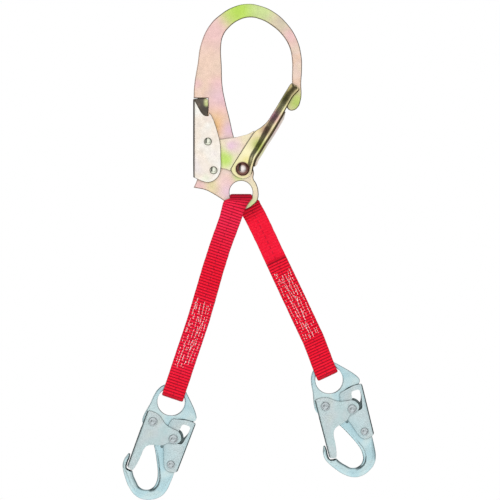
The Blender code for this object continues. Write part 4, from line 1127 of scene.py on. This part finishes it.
def strap(side):
    fr = Frame(EYE[0], EYE[1], LEG[side][0])
    st = strap_path(side)
    L = catmull([np.array([p[0][0] * UNIT, p[0][1] * MM, -p[0][2] * UNIT]) for p in st], 12)
    R = catmull([np.array([p[1][0] * UNIT, p[1][1] * MM, -p[1][2] * UNIT]) for p in st], 12)
    L, R = np.array(L), np.array(R)
    mid = (L + R) / 2
    s = np.concatenate([[0], np.cumsum(np.linalg.norm(np.diff(mid, axis=0), axis=1))])
    total = s[-1]
    n = int(total / STEP)
    ss = np.linspace(0, total, n)
    L = np.stack([np.interp(ss, s, L[:, i]) for i in range(3)], 1)
    R = np.stack([np.interp(ss, s, R[:, i]) for i in range(3)], 1)
    mid = (L + R) / 2
    tang = np.gradient(mid, axis=0)
    tang /= np.linalg.norm(tang, axis=1)[:, None]
    wide = R - L
    half = np.linalg.norm(wide, axis=1) / 2
    wide /= 2 * half[:, None]
    nor = np.cross(tang, wide)
    nor /= np.linalg.norm(nor, axis=1)[:, None]
    cols = 36
    uu = np.linspace(-1, 1, cols + 1)
    # crowd columns a little to the selvedges
    uu = np.sign(uu) * (1 - (1 - np.abs(uu)) ** 1.08)
    phase = ss / RIB
    # ribs: wide rounded tops with narrow grooves
    saw = np.abs(np.sin(math.pi * phase)) ** 0.8
    parity = np.floor(phase) % 2
    verts, groove, shade, uvs, sheen_pink = [], [], [], [], []
    fold_s = ss[int(np.argmin(mid[:, 2]))]

    # strength of the painted pink highlight along the strap
    def sheen_pink_of(q):
        v = q / UNIT
        if side == "left":
            return 0.9 * max(0.0, 1 - abs(v - 32) / 46) + 0.35 * max(0.0, 1 - abs(v - 160) / 60)
        return 0.15 * max(0.0, 1 - abs(v - 60) / 60)
    def rib_of(q, to_fold):
        v = q / UNIT
        k = 1.0
        if side == "right":
            k = 1.0 - 0.62 * float(smooth(v, 22.0, 36.0)) * (1 - float(smooth(v, 84.0, 120.0)))
        return k * (0.35 + 0.65 * min(1.0, to_fold / (9.0 * MM)))
    rng = random.Random(7 if side == "left" else 11)
    wob = np.array([rng.uniform(-1, 1) for _ in range(n // 8 + 3)])
    edge_w = np.interp(np.arange(n) / 8.0, np.arange(len(wob)), wob) * 0.12 * MM
    eye_v = LEG[side][1]
    for face in (1, -1):
        for i in range(n):
            rk = rib_of(ss[i], abs(ss[i] - fold_s))
            for j, u in enumerate(uu):
                au = abs(u)
                thick = WEB_T / 2 * (1 - au ** 10) ** 0.5 if au < 1 else 0.0
                x = u * (half[i] + edge_w[i] * (1 if u > 0 else -1) * au)
                yarn = 0.5 + 0.5 * math.cos(2 * math.pi * (u * 9.0) + math.pi * parity[i])
                h = (0.42 * MM * (saw[i] - 1.0) * (0.4 + 0.6 * rk) + 0.07 * MM * (yarn - 1.0) * saw[i]) * (1 - au ** 8)
                # painted shade in the rib grooves, weaker near the fold
                g = (1 - saw[i]) * rk
                p = mid[i] + wide[i] * x + nor[i] * face * (thick + h)
                verts.append(p)
                groove.append(g)
                # painted shade: darker at the fold over the small eye, where the strap leaves the big eye, on the side
                # towards the hook tip and along the selvedges; the cut end is darker too
                d_end = total - ss[i]
                sh = 0.62 * max(0.0, 1 - d_end / (2.6 * MM)) + 0.80 * max(0.0, 1 - ss[i] / (15.0 * MM)) ** 0.8
                sh = max(sh, (0.72 if side == "left" else 0.5) * max(0.0, min(1.0, (u * (1 if side == "left" else -1) - 0.15) / 0.7)) * max(0.0, 1 - ss[i] / (24.0 * MM)))
                sh = max(sh, 0.80 * max(0.0, 1 - abs(ss[i] - fold_s) / (8.0 * MM)) ** 1.2)
                sh = max(sh, 0.45 * max(0.0, (au - 0.93) / 0.07))
                shade.append(min(1.0, sh))
                sheen_pink.append(sheen_pink_of(ss[i]))
                uvs.append((x, ss[i]))
    m = cols + 1
    faces = []
    for face in (0, 1):
        base = face * n * m
        for i in range(n - 1):
            for j in range(cols):
                a, b = base + i * m + j, base + i * m + j + 1
                q = (a, b, b + m, a + m)
                faces.append(q if face == 0 else q[::-1])
    off = n * m
    for i in (0, n - 1):
        for j in range(cols):
            a, b = i * m + j, i * m + j + 1
            q = (a, b, b + off, a + off)
            faces.append(q[::-1] if i == 0 else q)
    me = bpy.data.meshes.new("strap")
    me.from_pydata([tuple(v) for v in verts], [], faces)
    for name, vals in (("groove", groove), ("shade", shade), ("sheen_pink", sheen_pink)):
        at = me.attributes.new(name, "FLOAT", "POINT")
        at.data.foreach_set("value", np.array(vals, np.float32))
    uvl = me.uv_layers.new(name="strap")
    vi = np.zeros(len(me.loops), np.int32)
    me.loops.foreach_get("vertex_index", vi)
    uvl.data.foreach_set("uv", np.array(uvs, np.float32)[vi].ravel())
    bm = bmesh.new()
    bm.from_mesh(me)
    bmesh.ops.remove_doubles(bm, verts=bm.verts, dist=1e-6)
    bmesh.ops.recalc_face_normals(bm, faces=bm.faces)
    bm.to_mesh(me)
    bm.free()
    me.transform(fr.mat)
    o = bpy.data.objects.new(side + "_strap", me)
    scene.collection.objects.link(o)
    me.materials.append(RED)
    me.shade_smooth()
    me.set_sharp_from_angle(angle=math.radians(75))
    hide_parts(side + "_web_upper", side + "_web_lower")
    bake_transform(o)
    return o


def stitches(side):
    """Rows of lockstitch through both layers: short thread loops standing a little off each face."""
    fr = Frame(EYE[0], EYE[1], LEG[side][0])
    v0, v1 = (111.5, 186.0) if side == "left" else (87.0, 171.0)
    fronts = (-5.2 * MM - WEB_T / 2, (-2.2 * MM + WEB_T / 2)) if side == "left" else ((2.2 * MM - WEB_T / 2), 5.2 * MM + WEB_T / 2)
    rng = random.Random(23 if side == "left" else 31)
    runs = []
    lean = 1.6 if side == "left" else -1.2
    for u in (-8.0, -4.9, -1.7, 1.7, 4.9, 8.0):
        jog = rng.uniform(-3, 3)
        runs.append(((u, v0 + 4 + jog), (u, v1 - 4 + jog)))
    span = (v1 - v0) / 4
    for k in range(4):
        a, b = v0 + span * k, v0 + span * (k + 1)
        runs += [((-6.6 + 0.8 * k, a + 2), (-6.6 + 0.8 * k + 4.2 * (1 if side == "right" else -0.3), b + 2)), ((5.6 - k, a + 4), (2.2 - k + lean, b))]
    runs += [((-3.0, v0 + 8), (2.2, v0 + 36)), ((2.7, v1 - 40), (-2.7, v1 - 8))]
    bm = bmesh.new()
    pitch, r = 1.9, 0.28 * MM
    for (ua, va), (ub, vb) in runs:
        length = math.hypot(ub - ua, vb - va)
        count = int(length / pitch)
        du, dv = (ub - ua) / length, (vb - va) / length
        skip_a, skip_f = rng.uniform(0, 6.28), rng.uniform(0.10, 0.24)
        wave_a, wave_f = rng.uniform(0, 6.28), rng.uniform(0.07, 0.13)
        for k in range(count):
            t = (k + 0.5) * pitch
            if rng.random() < 0.16 + 0.34 * (0.5 + 0.5 * math.sin(skip_a + skip_f * t)) ** 2:
                continue
            cv = va + dv * t + rng.uniform(-0.25, 0.25)
            cu = bow(side, cv) + ua + du * t + rng.uniform(-0.22, 0.22) + 0.55 * math.sin(wave_a + wave_f * t)
            tilt = rng.uniform(-0.22, 0.22)
            ln = rng.choice((1.1, 1.3, 1.5, 1.9))
            for face, y in zip((-1, 1), fronts):
                hl = ln / 2 * UNIT
                ax = Vector((du + tilt, 0, -dv)).normalized()
                side_v = Vector((0, 1, 0)).cross(ax)
                c = Vector((cu * UNIT, y, -cv * UNIT))
                ring_prev = None
                rings = []
                for q in range(7):
                    s = -1 + 2 * q / 6
                    lift = face * (0.20 * MM * (1 - s * s) - 0.14 * MM)
                    rad = r * (0.55 + 0.45 * (1 - s * s))
                    cc = c + ax * (s * hl) + Vector((0, lift, 0))
                    rings.append([bm.verts.new(cc + side_v * (rad * math.cos(2 * math.pi * w / 6)) + Vector((0, rad * math.sin(2 * math.pi * w / 6), 0))) for w in range(6)])
                for a, b in zip(rings, rings[1:]):
                    for w in range(6):
                        bm.faces.new((a[w], a[(w + 1) % 6], b[(w + 1) % 6], b[w]))
                bm.faces.new(rings[0][::-1])
                bm.faces.new(rings[-1])
    bmesh.ops.recalc_face_normals(bm, faces=bm.faces)
    me = bpy.data.meshes.new("stitches")
    bm.to_mesh(me)
    bm.free()
    put(side + "_stitches", me, fr, WHITE, side + "_leg_lower", side + "_web_stitching", slot="thread", weighted=False, sharp=0)


for side in ("left", "right"):
    strap(side)
    stitches(side)

for n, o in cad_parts.items():
    if "spring" in n:
        o.data.materials.clear()
        o.data.materials.append(WIRE)
        o.data.shade_smooth()

# ---------------------------------------------------------------- studio
floor_me = bpy.data.meshes.new("floor")
bmf = bmesh.new()
bmesh.ops.create_grid(bmf, x_segments=1, y_segments=1, size=1.6)
bmf.to_mesh(floor_me)
bmf.free()
floor = bpy.data.objects.new("floor", floor_me)
floor.location = (0, 0, -0.80)
scene.collection.objects.link(floor)
fm = Nodes("pale_floor")
fm.b.inputs["Base Color"].default_value = (0.93, 0.93, 0.93, 1)
fm.b.inputs["Roughness"].default_value = 0.9
fm.b.inputs["Emission Color"].default_value = (1, 1, 1, 1)
fm.b.inputs["Emission Strength"].default_value = 0.22
floor_me.materials.append(fm.m)

world = bpy.data.worlds.new("studio")
scene.world = world
world.use_nodes = True
nt = world.node_tree
nt.nodes.clear()
out = nt.nodes.new("ShaderNodeOutputWorld")
bg_cam = nt.nodes.new("ShaderNodeBackground")
bg_cam.inputs["Color"].default_value = (1, 1, 1, 1)
bg_cam.inputs["Strength"].default_value = 1.0
bg_env = nt.nodes.new("ShaderNodeBackground")
lp = nt.nodes.new("ShaderNodeLightPath")
mixs = nt.nodes.new("ShaderNodeMixShader")
tc = nt.nodes.new("ShaderNodeTexCoord")
sepw = nt.nodes.new("ShaderNodeSeparateXYZ")
nt.links.new(tc.outputs["Generated"], sepw.inputs[0])


def wm(op, a, b=None):
    x = nt.nodes.new("ShaderNodeMath")
    x.operation = op
    for i, v in enumerate((a, b)):
        if v is None:
            continue
        if isinstance(v, (int, float)):
            x.inputs[i].default_value = v
        else:
            nt.links.new(v, x.inputs[i])
    return x.outputs[0]


def wramp(fac, stops):
    x = nt.nodes.new("ShaderNodeValToRGB")
    e = x.color_ramp.elements
    while len(e) < len(stops):
        e.new(0.5)
    for s_, (p, c) in zip(e, stops):
        s_.position = p
        s_.color = (c, c, c, 1)
    nt.links.new(fac, x.inputs[0])
    return x.outputs[0]


# one broad light above, in front and to the left; dark behind, below and to the right; a narrow dark flag left of it
lx, ly, lz = -0.38, -0.80, 0.46
front = wm("MULTIPLY", wm("MAXIMUM", wm("MULTIPLY", sepw.outputs[1], -1.0), 0.0), -ly)
rear = wm("MULTIPLY", wm("MAXIMUM", sepw.outputs[1], 0.0), -0.9 * ly)
dot = wm("ADD", wm("ADD", wm("MULTIPLY", sepw.outputs[0], lx), wm("ADD", front, rear)), wm("MULTIPLY", sepw.outputs[2], lz))
half_dot = wm("ADD", wm("MULTIPLY", dot, 0.5), 0.5)
glossy = wramp(half_dot, [(0.0, 0.02), (0.42, 0.03), (0.60, 0.12), (0.72, 0.38), (0.82, 0.88), (0.89, 1.14), (1.0, 1.16)])
# a weaker panel far round to the right, for the faces turned away from the broad light
side_dot = wm("ADD", wm("MULTIPLY", sepw.outputs[0], 0.75), wm("MULTIPLY", wm("ABSOLUTE", sepw.outputs[1]), 0.66))
panel = wramp(wm("ADD", wm("MULTIPLY", side_dot, 0.5), 0.5), [(0.0, 0.0), (0.88, 0.0), (0.965, 0.74), (1.0, 0.84)])
glossy = wm("MAXIMUM", glossy, panel)
flag = wramp(wm("ADD", wm("MULTIPLY", sepw.outputs[0], 0.5), 0.5), [(0.0, 1.0), (0.12, 1.0), (0.20, 0.12), (0.36, 0.12), (0.42, 1.0), (1.0, 1.0)])
mul = nt.nodes.new("ShaderNodeMix")
mul.data_type = "RGBA"
mul.blend_type = "MULTIPLY"
mul.inputs[0].default_value = 1.0
nt.links.new(glossy, mul.inputs[6])
nt.links.new(flag, mul.inputs[7])
soft = nt.nodes.new("ShaderNodeMix")
soft.data_type = "RGBA"
nt.links.new(lp.outputs["Is Glossy Ray"], soft.inputs[0])
soft.inputs[6].default_value = (0.62, 0.62, 0.62, 1)
nt.links.new(mul.outputs[2], soft.inputs[7])
nt.links.new(soft.outputs[2], bg_env.inputs["Color"])
bg_env.inputs["Strength"].default_value = 1.0
nt.links.new(lp.outputs["Is Camera Ray"], mixs.inputs[0])
nt.links.new(bg_env.outputs[0], mixs.inputs[1])
nt.links.new(bg_cam.outputs[0], mixs.inputs[2])
nt.links.new(mixs.outputs[0], out.inputs["Surface"])


def area(name, loc, aim, size, power, colour=(1, 1, 1)):
    l = bpy.data.lights.new(name, "AREA")
    l.shape = "RECTANGLE"
    l.size, l.size_y = size
    l.energy = power
    l.color = colour
    o = bpy.data.objects.new(name, l)
    o.location = loc
    o.rotation_euler = (Vector(aim) - Vector(loc)).to_track_quat("-Z", "Y").to_euler()
    scene.collection.objects.link(o)
    return o


area("key", (-0.7, -1.3, 1.5), (0, 0, -0.27), (0.8, 0.8), 22).visible_glossy = False
area("fill", (1.3, -1.5, 0.1), (0, 0, -0.27), (0.8, 1.2), 3).visible_glossy = False
area("rim_back", (0.3, 1.6, 0.7), (0, 0, -0.27), (1.2, 0.8), 12).visible_glossy = False

cam_d = bpy.data.cameras.new("camera")
cam = bpy.data.objects.new("camera", cam_d)
scene.collection.objects.link(cam)
cam_d.sensor_width = 36
DIST = 4.0
cam_d.lens = 36 * DIST / (500 * UNIT)
cam.location = (W(250, 250).x, -DIST, W(250, 250).z)
cam.rotation_euler = (math.pi / 2, 0, 0)
cam_d.clip_end = 50
scene.camera = cam
scene.view_settings.view_transform = "Standard"
scene.view_settings.look = "None"
scene.view_settings.exposure = 0.0
scene.view_settings.gamma = 1.0
